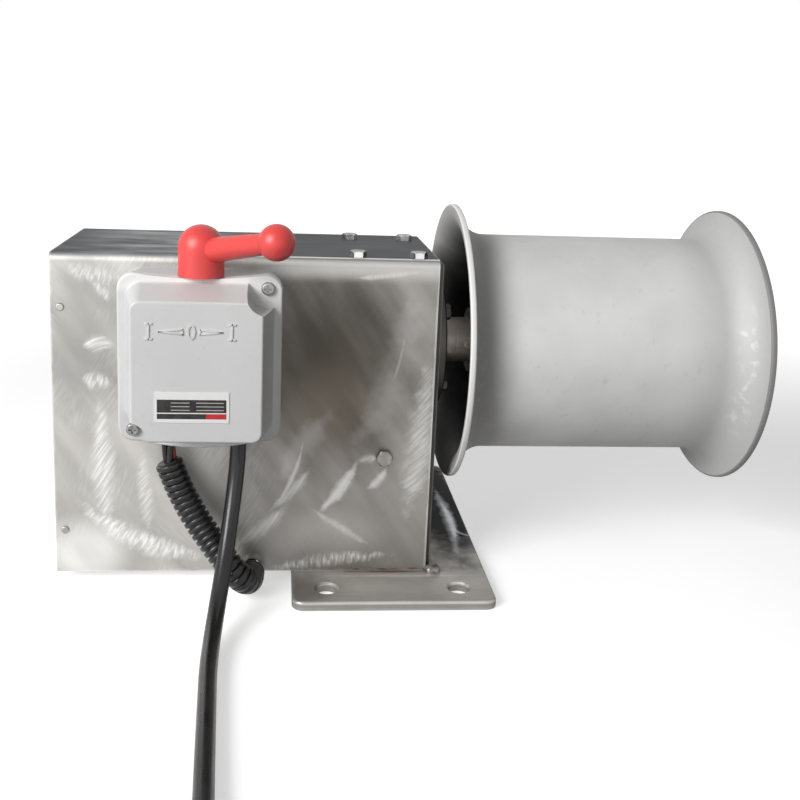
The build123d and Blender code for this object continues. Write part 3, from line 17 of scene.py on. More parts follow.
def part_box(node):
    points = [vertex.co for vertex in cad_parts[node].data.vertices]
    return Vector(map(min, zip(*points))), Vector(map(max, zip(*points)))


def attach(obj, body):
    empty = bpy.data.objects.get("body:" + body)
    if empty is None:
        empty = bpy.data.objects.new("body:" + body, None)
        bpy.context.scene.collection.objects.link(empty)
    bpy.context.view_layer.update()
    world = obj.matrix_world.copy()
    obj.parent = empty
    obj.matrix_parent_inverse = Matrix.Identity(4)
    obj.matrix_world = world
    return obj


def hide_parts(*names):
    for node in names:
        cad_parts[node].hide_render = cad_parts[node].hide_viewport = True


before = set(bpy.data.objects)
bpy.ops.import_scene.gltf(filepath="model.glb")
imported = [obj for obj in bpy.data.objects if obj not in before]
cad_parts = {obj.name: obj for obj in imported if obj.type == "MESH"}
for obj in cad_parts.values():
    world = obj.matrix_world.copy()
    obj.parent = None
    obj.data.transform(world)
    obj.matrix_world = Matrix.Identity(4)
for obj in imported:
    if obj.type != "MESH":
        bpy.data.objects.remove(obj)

log = logging.getLogger("winch")

MM = 0.001
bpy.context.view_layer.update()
SAME_SPOT = 1e-6
SOFT_EDGES = 60.0

Flat = tuple[float, float]
Triple = tuple[float, float, float]
Point = Triple
Colour = Triple
Span = tuple[float, ...]
Socket = bpy.types.NodeSocket
Sockets = bpy.types.bpy_prop_collection
Value = Socket | float | Span

ORIGIN = (0.0, 0.0, 0.0)
WHITE = (1.0, 1.0, 1.0)
EVENLY = (1.0, 1.0, 1.0)


class Body(str, Enum):
    """The bodies of the winch that new pieces ride on."""

    WINCH = "winch"
    DRUM = "drum"


class Slot(str, Enum):
    """The record's material slots, passed along with new pieces but not used."""

    BLASTED_STEEL = "blasted_steel"
    SWITCH_GREY = "switch_grey"
    BLACK_PLASTIC = "black_plastic"
    BLACK_RUBBER = "black_rubber"
    RED_WIRE = "red_wire"
    WELD = "weld"


def mm(*values: float) -> Vector:
    """A point in metres, from its millimetres."""
    return Vector(values) * MM


def shade(colour: Colour) -> tuple[float, float, float, float]:
    """A colour with full alpha, as colour sockets take it."""
    return (*colour, 1.0)


def stand(name: str, data: bpy.types.ID) -> bpy.types.Object:
    """Puts a new object into the scene, at the origin.

    Args:
        name: The object's name.
        data: Its mesh, curve, lamp or camera.

    Returns:
        The object.
    """
    made = bpy.data.objects.new(name, data)
    bpy.context.scene.collection.objects.link(made)
    return made


def corners(node: str) -> tuple[Point, Point]:
    """The lowest and the highest corner of a solid's box, as plain numbers."""
    return tuple(tuple(corner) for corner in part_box(node))


class NodeSheet:
    """One node tree, filled with nodes whose sockets are set or linked as they are added."""

    def __init__(self, tree: bpy.types.NodeTree) -> None:
        """Starts with the tree as it is."""
        self.tree = tree

    def feed(self, socket: Socket, value: Value) -> None:
        """Links a socket to another, or sets it to a plain value.

        Args:
            socket: The input that is fed.
            value: An output socket, a number, or a vector or colour.
        """
        if isinstance(value, Socket):
            self.tree.links.new(value, socket)
        else:
            socket.default_value = value

    def node(self, kind: str, inputs: dict[str | int, Value] | None = None,
             **settings: object) -> bpy.types.Node:
        """Adds a node.

        Args:
            kind: The node's type name.
            inputs: What feeds its inputs, by name or index.
            **settings: Properties of the node, set before its inputs.

        Returns:
            The new node.
        """
        made = self.tree.nodes.new(kind)
        for name, value in settings.items():
            setattr(made, name, value)
        for key, value in (inputs or {}).items():
            self.feed(made.inputs[key], value)
        return made

    def math(self, operation: str, *values: Value, clamp: bool = False) -> Socket:
        """The result of a Math node on one to three values."""
        inputs = dict(enumerate(values))
        return self.node("ShaderNodeMath", inputs, operation=operation, use_clamp=clamp).outputs[0]

    def times(self, *values: Value) -> Socket:
        """The product of values."""
        return reduce(lambda product, value: self.math("MULTIPLY", product, value), values)

    def less(self, first: Value, second: Value) -> Socket:
        """The first value less the second."""
        return self.math("SUBTRACT", first, second)

    def mad(self, value: Value, factor: Value, plus: Value) -> Socket:
        """A value times a factor, plus another value."""
        return self.math("MULTIPLY_ADD", value, factor, plus)

    def size(self, value: Value) -> Socket:
        """A value without its sign."""
        return self.math("ABSOLUTE", value)

    def vector(self, operation: str, *values: Value) -> Socket:
        """The vector result of a Vector Math node."""
        inputs = dict(enumerate(values))
        return self.node("ShaderNodeVectorMath", inputs, operation=operation).outputs["Vector"]

    def length(self, vector: Value) -> Socket:
        """The length of a vector."""
        return self.node("ShaderNodeVectorMath", {0: vector}, operation="LENGTH").outputs["Value"]

    def split(self, vector: Value) -> tuple[Socket, Socket, Socket]:
        """The three parts of a vector."""
        return tuple(self.node("ShaderNodeSeparateXYZ", {0: vector}).outputs)

    def join(self, x: Value, y: Value, z: Value) -> Socket:
        """A vector from its three parts."""
        return self.node("ShaderNodeCombineXYZ", {0: x, 1: y, 2: z}).outputs[0]

    def smooth(self, value: Value, low: float, high: float, start: float = 0.0, end: float = 1.0) -> Socket:
        """A soft step of a value from start to end, as it goes from low to high, which may be lower."""
        inputs = {"Value": value, "From Min": low, "From Max": high, "To Min": start, "To Max": end}
        return self.node("ShaderNodeMapRange", inputs, interpolation_type="SMOOTHSTEP").outputs[0]

    def between(self, mask: Value, start: float, end: float) -> Socket:
        """A value from start to end, as a mask goes from 0 to 1."""
        return self.smooth(mask, 0.0, 1.0, start, end)

    def ramp(self, value: Value, low: float, high: float, start: float = 0.0, end: float = 1.0,
             origin: float = 0.0) -> Socket:
        """A soft step from start to end, between two places in millimetres from an origin in metres."""
        return self.smooth(value, origin + low * MM, origin + high * MM, start, end)

    def blend(self, share: Value, first: Value, second: Value, mode: str = "MIX") -> Socket:
        """Two colours mixed by a share."""
        inputs = {0: share, 6: first, 7: second}
        return self.node("ShaderNodeMix", inputs, data_type="RGBA", blend_type=mode).outputs[2]

    def paint(self, tone: Value, colour: Colour, *masks: Value) -> Socket:
        """A tone covered by a colour, as far as the product of the masks says."""
        return self.blend(self.times(*masks), tone, shade(colour))

    def tones(self, share: Value, first: Colour, second: Colour) -> Socket:
        """A tone between two colours."""
        return self.blend(share, shade(first), shade(second))

    def noise(self, point: Value, scale: Value, detail: float = 2.0, roughness: float = 0.5) -> Socket:
        """Soft noise round 0.5 at a point in space."""
        inputs = {"Vector": point, "Scale": scale, "Detail": detail, "Roughness": roughness}
        return self.node("ShaderNodeTexNoise", inputs, noise_dimensions="3D").outputs[0]

    def stretch(self, point: Value, scale: Point, turn: Point = ORIGIN) -> Socket:
        """A point scaled along the axes after a turn, to draw a pattern out."""
        turned = self.node("ShaderNodeMapping", {"Vector": point, "Rotation": turn})
        return self.node("ShaderNodeMapping", {"Vector": turned.outputs[0], "Scale": scale}).outputs[0]

    def bump(self, height: Value, strength: float, depth: float, normal: Socket | None = None) -> Socket:
        """A normal raised by a height whose 1 is a depth in millimetres, over another if one is given."""
        given = {"Height": height, "Strength": strength, "Distance": depth * MM}
        return self.node("ShaderNodeBump", given if normal is None else given | {"Normal": normal}).outputs[0]

    def place(self, group: bpy.types.NodeTree, **inputs: Value) -> bpy.types.Node:
        """Adds a node group, with its inputs named in lower case and underscores."""
        named = {name.replace("_", " ").capitalize(): value for name, value in inputs.items()}
        return self.node("ShaderNodeGroup", named, node_tree=group)


class Effects:
    """The node groups that finishes share, each built once, with the noise and the steps that shape them."""

    NOISE_MIDDLE = 0.5
    FRAY = (130.0, 3.0, 0.6)
    FRAY_ALONG = 0.6
    FRAY_ACROSS = 0.9
    SLIM = (0.2, 1.1, 1.0, 0.3)
    SIDES = (1.1, 0.0)
    ENDS = (1.1, 0.5)
    MARK_NOISE = (1.0, 2.0, 0.55)
    MARK_STEP = (0.38, 0.64)
    MARK_RUN = 0.2
    HATCH_NOISE = (1.0, 2.0, 0.6)
    HATCH_RUN = 0.1
    HATCH_STEP = (0.42, 0.62)
    PATCH_STEP = (0.46, 0.68)
    LINE_NOISE = (4.0, 0.65)
    LINE_STEP = (0.3, 0.7)
    CLOUD_NOISE = (4.0, 0.55)
    CLOUD_STEP = (0.28, 0.72)
    SPOT_NOISE = (3.0, 0.6)
    SPOT_STEP = (0.6, 0.78)
    SPOT_FINENESS = 9.0
    GRAIN_NOISE = (3.0, 0.7)
    RUB = (70.0, 3.0, 0.6)
    RUB_WIDTH = (0.25, 0.75, 0.35, 1.5)

    stroke: bpy.types.NodeTree
    hatch: bpy.types.NodeTree
    scratches: bpy.types.NodeTree
    mottle: bpy.types.NodeTree
    grain: bpy.types.NodeTree
    edges: bpy.types.NodeTree

    def __init__(self) -> None:
        """Builds every group."""
        for build in (self._stroke, self._hatch, self._scratches, self._mottle, self._grain, self._edges):
            build()

    @staticmethod
    def _start(name: str, vectors: Sequence[str], numbers: Sequence[str],
               results: Sequence[str]) -> tuple[NodeSheet, Sockets, Sockets]:
        """Starts a group.

        Args:
            name: The group's name.
            vectors: The names of its vector inputs.
            numbers: The names of its number inputs.
            results: The names of its results, which are numbers.

        Returns:
            Its sheet, its inputs, and the sockets that take its results.
        """
        tree = bpy.data.node_groups.new(name, "ShaderNodeTree")
        for label in (*vectors, *numbers):
            kind = "NodeSocketVector" if label in vectors else "NodeSocketFloat"
            tree.interface.new_socket(label, in_out="INPUT", socket_type=kind)
        for label in results:
            tree.interface.new_socket(label, in_out="OUTPUT", socket_type="NodeSocketFloat")
        sheet = NodeSheet(tree)
        return sheet, sheet.node("NodeGroupInput").outputs, sheet.node("NodeGroupOutput").inputs

    def _stroke(self) -> None:
        """One sweep of a grinding disc over a flat face: a feathered arc of fine slanting marks."""
        names = ("Centre x", "Centre z", "Radius", "Half width", "Middle", "Half angle", "Marks", "Slant",
                 "Contrast")
        sheet, given, out = self._start("grinding_stroke", ["Point"], names, ["Mask"])
        x, _, z = sheet.split(given["Point"])
        dx = sheet.less(x, given["Centre x"])
        dz = sheet.less(z, given["Centre z"])
        off = sheet.less(sheet.length(sheet.join(dx, dz, 0.0)), given["Radius"])
        turn = sheet.less(sheet.math("ARCTAN2", dz, dx), given["Middle"])
        turn = sheet.math("WRAP", turn, math.pi, -math.pi)
        ragged = sheet.less(sheet.noise(given["Point"], *self.FRAY), self.NOISE_MIDDLE)
        along = sheet.math("DIVIDE", sheet.size(turn), given["Half angle"])
        along = sheet.mad(ragged, self.FRAY_ALONG, along)
        slim = sheet.times(given["Half width"], sheet.smooth(along, *self.SLIM))
        across = sheet.math("DIVIDE", sheet.size(off), slim)
        across = sheet.mad(ragged, self.FRAY_ACROSS, across)
        band = sheet.times(sheet.smooth(across, *self.SIDES), sheet.smooth(along, *self.ENDS))
        line = sheet.mad(off, given["Slant"], sheet.times(turn, given["Radius"]))
        line = sheet.times(line, given["Marks"])
        run = sheet.times(off, given["Marks"], self.MARK_RUN)
        marks = sheet.noise(sheet.join(line, run, 0.0), *self.MARK_NOISE)
        marks = sheet.mad(sheet.smooth(marks, *self.MARK_STEP, -1.0, 0.0), given["Contrast"], 1.0)
        sheet.feed(out["Mask"], sheet.times(band, marks))
        self.stroke = sheet.tree

    def _hatch(self) -> None:
        """Fine slanting lines in soft patches, as light grinding leaves them on an upright face."""
        sheet, given, out = self._start("light_grinding", ["Point"], ["Slant", "Marks", "Patches"], ["Mask"])
        slant = given["Slant"]
        x, y, z = sheet.split(given["Point"])
        level = sheet.math("ADD", x, y)
        cosine = sheet.math("COSINE", slant)
        sine = sheet.math("SINE", slant)
        across = sheet.math("ADD", sheet.times(level, cosine), sheet.times(z, sine))
        along = sheet.less(sheet.times(z, cosine), sheet.times(level, sine))
        across = sheet.times(across, given["Marks"])
        along = sheet.times(along, given["Marks"], self.HATCH_RUN)
        lines = sheet.smooth(sheet.noise(sheet.join(across, along, 0.0), *self.HATCH_NOISE), *self.HATCH_STEP)
        aside = sheet.vector("ADD", given["Point"], sheet.join(slant, slant, slant))
        patch = sheet.smooth(sheet.noise(aside, given["Patches"]), *self.PATCH_STEP)
        sheet.feed(out["Mask"], sheet.times(lines, patch))
        self.hatch = sheet.tree

    def _scratches(self) -> None:
        """Fine lines drawn out one way, as a belt or a brush leaves them."""
        sheet, given, out = self._start("fine_scratches", ["Point", "Along"], ["Scale"], ["Lines"])
        drawn = sheet.vector("MULTIPLY", given["Point"], given["Along"])
        lines = sheet.noise(drawn, given["Scale"], *self.LINE_NOISE)
        sheet.feed(out["Lines"], sheet.smooth(lines, *self.LINE_STEP))
        self.scratches = sheet.tree

    def _mottle(self) -> None:
        """Cloudy patches and small spots, for stains, dust and uneven tone."""
        sheet, given, out = self._start("mottle", ["Point"], ["Scale"], ["Clouds", "Spots"])
        clouds = sheet.noise(given["Point"], given["Scale"], *self.CLOUD_NOISE)
        fine = sheet.noise(given["Point"], sheet.times(given["Scale"], self.SPOT_FINENESS), *self.SPOT_NOISE)
        sheet.feed(out["Clouds"], sheet.smooth(clouds, *self.CLOUD_STEP))
        sheet.feed(out["Spots"], sheet.smooth(fine, *self.SPOT_STEP))
        self.mottle = sheet.tree

    def _grain(self) -> None:
        """A fine even grain, for blasted metal, moulded skins and the peel of paint."""
        sheet, given, out = self._start("grain", ["Point"], ["Scale"], ["Height"])
        sheet.feed(out["Height"], sheet.noise(given["Point"], given["Scale"], *self.GRAIN_NOISE))
        self.grain = sheet.tree

    def _edges(self) -> None:
        """The worn edges of a box-shaped piece, from how near two of its sides are."""
        sheet, given, out = self._start("worn_edges", ["Point", "Low", "High"], ["Width"], ["Mask"])
        near = sheet.vector("MINIMUM", sheet.vector("SUBTRACT", given["Point"], given["Low"]),
                            sheet.vector("SUBTRACT", given["High"], given["Point"]))
        a, b, c = sheet.split(near)
        least = sheet.math("MINIMUM", a, b)
        second = sheet.math("MAXIMUM", least, sheet.math("MINIMUM", sheet.math("MAXIMUM", a, b), c))
        rub = sheet.smooth(sheet.noise(given["Point"], *self.RUB), *self.RUB_WIDTH)
        share = sheet.math("DIVIDE", second, sheet.times(given["Width"], rub))
        sheet.feed(out["Mask"], sheet.math("SUBTRACT", 1.0, share, clamp=True))
        self.edges = sheet.tree


class SkinSheet(NodeSheet):
    """The node tree of one material, with its shader and the point on the piece that it is seen at."""

    def __init__(self, material: bpy.types.Material, effects: Effects | None = None) -> None:
        """Starts with the material's own shader.

        Args:
            material: The material.
            effects: The shared groups, if it uses them.
        """
        material.use_nodes = True
        super().__init__(material.node_tree)
        self.effects = effects
        self.shader = self.tree.nodes["Principled BSDF"].inputs
        self.point = self.node("ShaderNodeTexCoord").outputs["Object"]
        self.x, self.y, self.z = self.split(self.point)

    def mottle(self, scale: float) -> tuple[Socket, Socket]:
        """The masks of soft clouds and of small spots."""
        return tuple(self.place(self.effects.mottle, point=self.point, scale=scale).outputs)

    def lines(self, along: Point, scale: float) -> Socket:
        """Fine lines drawn out one way."""
        return self.place(self.effects.scratches, point=self.point, along=along, scale=scale).outputs[0]

    def grit(self, scale: float, strength: float, depth: float) -> Socket:
        """A normal with a fine even grain, up to a depth in millimetres."""
        height = self.place(self.effects.grain, point=self.point, scale=scale).outputs[0]
        return self.bump(height, strength, depth)

    def worn(self, low: Point, high: Point, width: float) -> Socket:
        """The worn edges of a box between two corners, of a width in millimetres."""
        inputs = {"point": self.point, "low": low, "high": high, "width": width * MM}
        return self.place(self.effects.edges, **inputs).outputs[0]

    def radius(self, axis: Flat) -> Socket:
        """The distance from an axis along X."""
        return self.length(self.join(self.less(self.y, axis[0]), self.less(self.z, axis[1]), 0.0))

    def coat(self, *values: Value) -> None:
        """Feeds the shader's colour, its roughness and, if it is given, its normal."""
        for name, value in zip(("Base Color", "Roughness", "Normal"), values):
            self.feed(self.shader[name], value)


@dataclass(frozen=True)
class GrindStroke:
    """One sweep of the disc on a flat face, through three points in millimetres."""

    start: Flat
    middle: Flat
    end: Flat
    width: float
    strength: float
    lean: float | None = None
    contrast: float = 0.7
    spacing: float = 1.9

    def mask(self, sheet: SkinSheet, point: Socket) -> Socket:
        """The stroke's mask on the face.

        Args:
            sheet: The material's nodes.
            point: The point on the face, measured in its X and Z.

        Returns:
            The mask, from 0 to the stroke's strength.
        """
        a, b, c = (Vector(spot) * MM for spot in (self.start, self.middle, self.end))
        corners = ((a, b, c), (b, c, a), (c, a, b))
        across = 2 * sum(p.x * (q.y - r.y) for p, q, r in corners)
        centre = Vector((sum(p.length_squared * (q.y - r.y) for p, q, r in corners) / across,
                         sum(p.length_squared * (r.x - q.x) for p, q, r in corners) / across))
        out = b - centre
        half = max((a - centre).angle(out), (c - centre).angle(out))
        middle = math.atan2(out.y, out.x)
        lean = 0.0 if self.lean is None else middle - math.radians(self.lean)
        mark = sheet.place(sheet.effects.stroke, point=point, centre_x=centre.x, centre_z=centre.y,
                           radius=out.length, half_width=self.width * MM / 2, middle=middle, half_angle=half,
                           marks=abs(math.cos(lean)) / (self.spacing * MM), slant=math.tan(lean),
                           contrast=self.contrast)
        return sheet.times(mark.outputs[0], self.strength)


@dataclass(frozen=True)
class Patch:
    """A soft oval of another tone on a flat face, by its centre and reach in millimetres."""

    centre: Flat
    reach: Flat
    tone: Colour
    strength: float = 1.0
    core: float = 0.15
    rim: float = 1.1

    def mask(self, sheet: SkinSheet, point: Socket, wander: Socket) -> Socket:
        """The patch's mask on the face.

        Args:
            sheet: The material's nodes.
            point: The point on the face, measured in its X and Z.
            wander: Noise round 0 that frays the patch's edge.

        Returns:
            The mask, from 0 to the patch's strength.
        """
        away = sheet.vector("SUBTRACT", point, (self.centre[0] * MM, 0.0, self.centre[1] * MM))
        away = sheet.vector("MULTIPLY", away, (1 / (self.reach[0] * MM), 0.0, 1 / (self.reach[1] * MM)))
        off = sheet.math("ADD", sheet.length(away), wander)
        return sheet.smooth(off, self.rim, self.core, 0.0, self.strength)


@dataclass(frozen=True)
class Finish:
    """A procedural material with a plain metal share; kinds of finish add their own nodes."""

    name: str
    metallic: float = 0.0
    edge_shine: float = field(default=1.0, kw_only=True)
    gleam: float = field(default=0.5, kw_only=True)

    def material(self, effects: Effects) -> bpy.types.Material:
        """Builds the material.

        Args:
            effects: The shared groups.

        Returns:
            The material, with its shader wired.
        """
        made = bpy.data.materials.new(self.name)
        sheet = SkinSheet(made, effects)
        sheet.shader["Metallic"].default_value = self.metallic
        sheet.shader["Specular Tint"].default_value = shade((self.edge_shine,) * 3)
        sheet.shader["Specular IOR Level"].default_value = self.gleam
        self.dress(sheet)
        return made

    def dress(self, sheet: SkinSheet) -> None:
        """Wires the finish's own nodes to the shader."""
        raise NotImplementedError


@dataclass(frozen=True)
class Clouded(Finish):
    """A plain finish of two tones in soft clouds, with spots, an uneven gloss and a fine grain."""

    light: Colour = WHITE
    dark: Colour = WHITE
    spots: Colour = WHITE
    spot_share: float = 1.0
    clouds: float = 30.0
    gloss: Flat = (0.4, 0.5)
    grain: Triple = (1500.0, 0.15, 0.2)

    def dress(self, sheet: SkinSheet) -> None:
        """Wires clouds to the colour and the gloss, and grain to the normal.

        Args:
            sheet: The material's nodes.
        """
        clouds, spots = sheet.mottle(self.clouds)
        tone = sheet.paint(sheet.tones(clouds, self.dark, self.light), self.spots, spots, self.spot_share)
        sheet.coat(self.marked(sheet, tone), sheet.between(clouds, *self.gloss), sheet.grit(*self.grain))

    def marked(self, sheet: SkinSheet, tone: Socket) -> Socket:
        """The tone under the finish's own marks, of which a plain one has none."""
        return tone


@dataclass(frozen=True)
class DrawnMetal(Finish):
    """Machined or drawn metal: fine lines along one way over soft clouds."""

    light: Colour = WHITE
    dark: Colour = WHITE
    along: Point = (1.0, 40.0, 40.0)
    fineness: float = 60.0
    gloss: Flat = (0.45, 0.25)
    clouds: float = 45.0
    line_share: float = 0.6
    groove: Flat = (0.12, 0.2)

    def dress(self, sheet: SkinSheet) -> None:
        """Wires the lines to the colour, the gloss and the normal.

        Args:
            sheet: The material's nodes.
        """
        lines = sheet.lines(self.along, self.fineness)
        clouds, _ = sheet.mottle(self.clouds)
        share = sheet.mad(lines, self.line_share, sheet.times(clouds, 1.0 - self.line_share))
        tone = sheet.tones(share, self.dark, self.light)
        sheet.coat(tone, sheet.between(share, *self.gloss), sheet.bump(lines, *self.groove))


@dataclass(frozen=True)
class GroundSheet(Finish):
    """Stainless sheet cleaned with a grinding disc: bright arcs on the sides, drawn streaks on the lid, and
    painted reflections, highlights and shade.

    Spans are in millimetres. Those of the bend and of the lid are in shares of the bend's radius.
    """

    low: Point = ORIGIN
    high: Point = ORIGIN
    patches: tuple[Patch, ...] = ()
    strokes: tuple[GrindStroke, ...] = ()
    # The front grades from a tone of painted light at the left to a painted dark reflection at the right.
    left_tone: Colour = (0.43, 0.417, 0.396)
    right_tone: Colour = (0.255, 0.244, 0.229)
    # The mark tone serves the grinding marks, the worn edges and the lid's painted highlight line.
    mark_and_highlight_tone: Colour = (0.84, 0.83, 0.81)
    # The lid's dark tone is a painted reflection.
    lid_painted_reflection: Colour = (0.16, 0.163, 0.172)
    lid_light: Colour = (0.50, 0.51, 0.525)
    # The bend tone is a painted highlight on the strip under the lid's bend.
    bend_highlight_tone: Colour = (0.47, 0.462, 0.442)
    foot_tone: Colour = (0.10, 0.065, 0.045)
    tone_span: Flat = (-170.0, -60.0)
    front_span: Flat = (1.5, 0.2)
    bend: float = 5.0
    lid_span: Flat = (-0.5, -0.04)
    bend_highlight_span: Flat = (-3.4, -1.4)
    bend_highlight_share: float = 0.75
    bend_highlight_fade: Span = (-150.0, -60.0, 0.4, 1.0)
    foot_noise: Point = (60.0, 3.0, 0.6)
    foot_step: Flat = (0.3, 0.7)
    foot_rise: Flat = (0.2, 2.2)
    foot_fade: Span = (-80.0, -30.0, 0.0, 0.8)
    # The lid's line is a painted highlight of the bend along the lid's front edge.
    lid_highlight_line: Triple = (0.75, 0.3, 0.08)
    lid_highlight_share: float = 0.85
    lid_highlight_fade: Flat = (-110.0, -80.0)
    sheen_middle: float = -150.0
    sheen_span: Span = (85.0, 20.0, 0.12, 1.0)
    smear: tuple[Point, Point] = ((30.0, 1.0, 7.0), (0.0, 0.6, 0.0))
    smear_noise: Point = (1.0, 3.0, 0.55)
    smear_reach: float = 0.9
    wash: Span = (0.3, 0.7, 0.84, 1.16)
    streaks: Point = (11.0, 330.0, 330.0)
    streak_mix: Flat = (0.75, 0.25)
    broad_streaks: Point = (13.0, 40.0, 40.0)
    broad_noise: Point = (1.0, 3.0, 0.6)
    broad_step: Flat = (0.32, 0.62)
    edge_width: float = 1.4
    edge_share: float = 0.4
    clouds: float = 11.0
    gloss: Flat = (0.42, 0.54)
    mark_gloss: float = 0.08
    dent_noise: Point = (14.0, 1.0, 0.4)
    dents: Flat = (0.1, 4.0)
    hair_fineness: float = 900.0
    hair: Flat = (0.05, 0.1)
    mark_relief: Flat = (0.12, 0.3)
    push: float = 0.3
    hatching: tuple[tuple[float, float, float, float], ...] = (
        (-0.55, 620.0, 13.0, 0.22), (-0.25, 700.0, 17.0, 0.18), (0.75, 660.0, 15.0, 0.13),
    )
    hatch_fade: Span = (-120.0, -70.0, 1.0, 0.1)
    hatch_cover: float = 0.85

    def dress(self, sheet: SkinSheet) -> None:
        """Wires the panels' tones, the disc's arcs and the lid's streaks.

        Args:
            sheet: The material's nodes.
        """
        front = sheet.ramp(sheet.y, *self.front_span, origin=self.low[1])
        start, end = self.lid_span
        lid = sheet.ramp(sheet.z, start * self.bend, end * self.bend, origin=self.high[2])
        tone, painted_shade = self.panel(sheet, front)
        marks = self.marks(sheet, front, painted_shade)
        tone = self.bend_highlight_and_foot(sheet, sheet.paint(tone, self.mark_and_highlight_tone, marks))
        tone = sheet.blend(lid, tone, self.streaked_lid(sheet))
        worn = sheet.worn(self.low, self.high, self.edge_width)
        tone = sheet.paint(tone, self.mark_and_highlight_tone, worn, self.edge_share)
        clouds, _ = sheet.mottle(self.clouds)
        gloss = sheet.mad(marks, self.mark_gloss, sheet.between(clouds, *self.gloss))
        normal = sheet.bump(sheet.noise(sheet.point, *self.dent_noise), *self.dents)
        normal = sheet.bump(sheet.lines(EVENLY, self.hair_fineness), *self.hair, normal)
        sheet.coat(tone, gloss, sheet.bump(marks, *self.mark_relief, normal))

    def panel(self, sheet: SkinSheet, front: Socket) -> tuple[Socket, Socket]:
        """The tone of the upright panels, with the patches on the front.

        Args:
            sheet: The material's nodes.
            front: 1 on the front panel.

        Returns:
            The tone, and the mask of the first patch, the painted dark reflection beside the switch.
        """
        smear = sheet.noise(sheet.stretch(sheet.point, *self.smear), *self.smear_noise)
        wander = sheet.mad(smear, self.smear_reach, -self.smear_reach / 2)
        # Painted light and reflection: light at the left, dark at the right, under soft patches of painted
        # reflection, light and shade.
        tone = sheet.tones(sheet.ramp(sheet.x, *self.tone_span), self.left_tone, self.right_tone)
        masks = [sheet.times(patch.mask(sheet, sheet.point, wander), front) for patch in self.patches]
        for patch, mask in zip(self.patches, masks):
            tone = sheet.paint(tone, patch.tone, mask)
        wash = sheet.smooth(smear, *self.wash)
        return sheet.blend(1.0, tone, sheet.join(wash, wash, wash), "MULTIPLY"), masks[0]

    def marks(self, sheet: SkinSheet, front: Socket, painted_shade: Socket) -> Socket:
        """The mask of the fine hatching and, on the front, of the disc's strokes.

        Each stroke is read a hair aside of the marks before it, so that the strokes are worked out in turn.

        Args:
            sheet: The material's nodes.
            front: 1 on the front panel.
            painted_shade: The mask of the first patch, a painted dark reflection, which has little hatching.

        Returns:
            The mask.
        """
        marks = 0.0
        for slant, fineness, patches, strength in self.hatching:
            hatch = sheet.place(sheet.effects.hatch, point=sheet.point, slant=slant, marks=fineness,
                                patches=patches)
            marks = sheet.math("MAXIMUM", marks, sheet.times(hatch.outputs[0], strength))
        bare = sheet.mad(painted_shade, -self.hatch_cover, 1.0)
        marks = sheet.times(marks, bare, sheet.ramp(sheet.x, *self.hatch_fade))
        for stroke in self.strokes:
            aside = sheet.join(sheet.times(marks, self.push * MM), 0.0, 0.0)
            mask = stroke.mask(sheet, sheet.vector("ADD", sheet.point, aside))
            marks = sheet.math("MAXIMUM", marks, sheet.times(mask, front))
        return marks

    def bend_highlight_and_foot(self, sheet: SkinSheet, tone: Socket) -> Socket:
        """Adds the painted highlight strip under the lid's bend and the stained line at the sheet's foot.

        Args:
            sheet: The material's nodes.
            tone: The tone that they cover.

        Returns:
            The new tone.
        """
        # Painted highlight: a lighter strip on the front just under the lid's bend.
        start, end = self.bend_highlight_span
        bend = sheet.ramp(sheet.z, start * self.bend, end * self.bend, 0.0, self.bend_highlight_share, self.high[2])
        tone = sheet.paint(tone, self.bend_highlight_tone, bend, sheet.ramp(sheet.x, *self.bend_highlight_fade))
        least, most = self.foot_rise
        stain_and_shade = sheet.noise(sheet.point, *self.foot_noise)
        rise = sheet.smooth(stain_and_shade, *self.foot_step, least * MM, most * MM)
        foot = sheet.math("LESS_THAN", sheet.less(sheet.z, self.low[2]), rise)
        return sheet.paint(tone, self.foot_tone, foot, sheet.ramp(sheet.x, *self.foot_fade))

    def streaked_lid(self, sheet: SkinSheet) -> Socket:
        """The lid's dark tone, a painted reflection, with lengthwise streaks, brightest over the switch, and
        a painted highlight along its front edge.

        Args:
            sheet: The material's nodes.

        Returns:
            The tone.
        """
        broad = sheet.noise(sheet.stretch(sheet.point, self.broad_streaks), *self.broad_noise)
        fine = sheet.mad(sheet.lines(self.streaks, 1.0), *self.streak_mix)
        sheen = sheet.times(sheet.smooth(broad, *self.broad_step), fine)
        zone = sheet.ramp(sheet.size(sheet.less(sheet.x, self.sheen_middle * MM)), *self.sheen_span)
        # The lid's dark base tone is a painted reflection.
        tone = sheet.tones(sheet.times(sheen, zone), self.lid_painted_reflection, self.lid_light)
        # Painted highlight: a bright line along the lid's front edge, over the bend.
        middle, outer, inner = (share * self.bend for share in self.lid_highlight_line)
        off = sheet.size(sheet.less(sheet.y, self.low[1] + middle * MM))
        line = sheet.ramp(off, outer, inner, 0.0, self.lid_highlight_share)
        return sheet.paint(tone, self.mark_and_highlight_tone, line, sheet.ramp(sheet.x, *self.lid_highlight_fade))


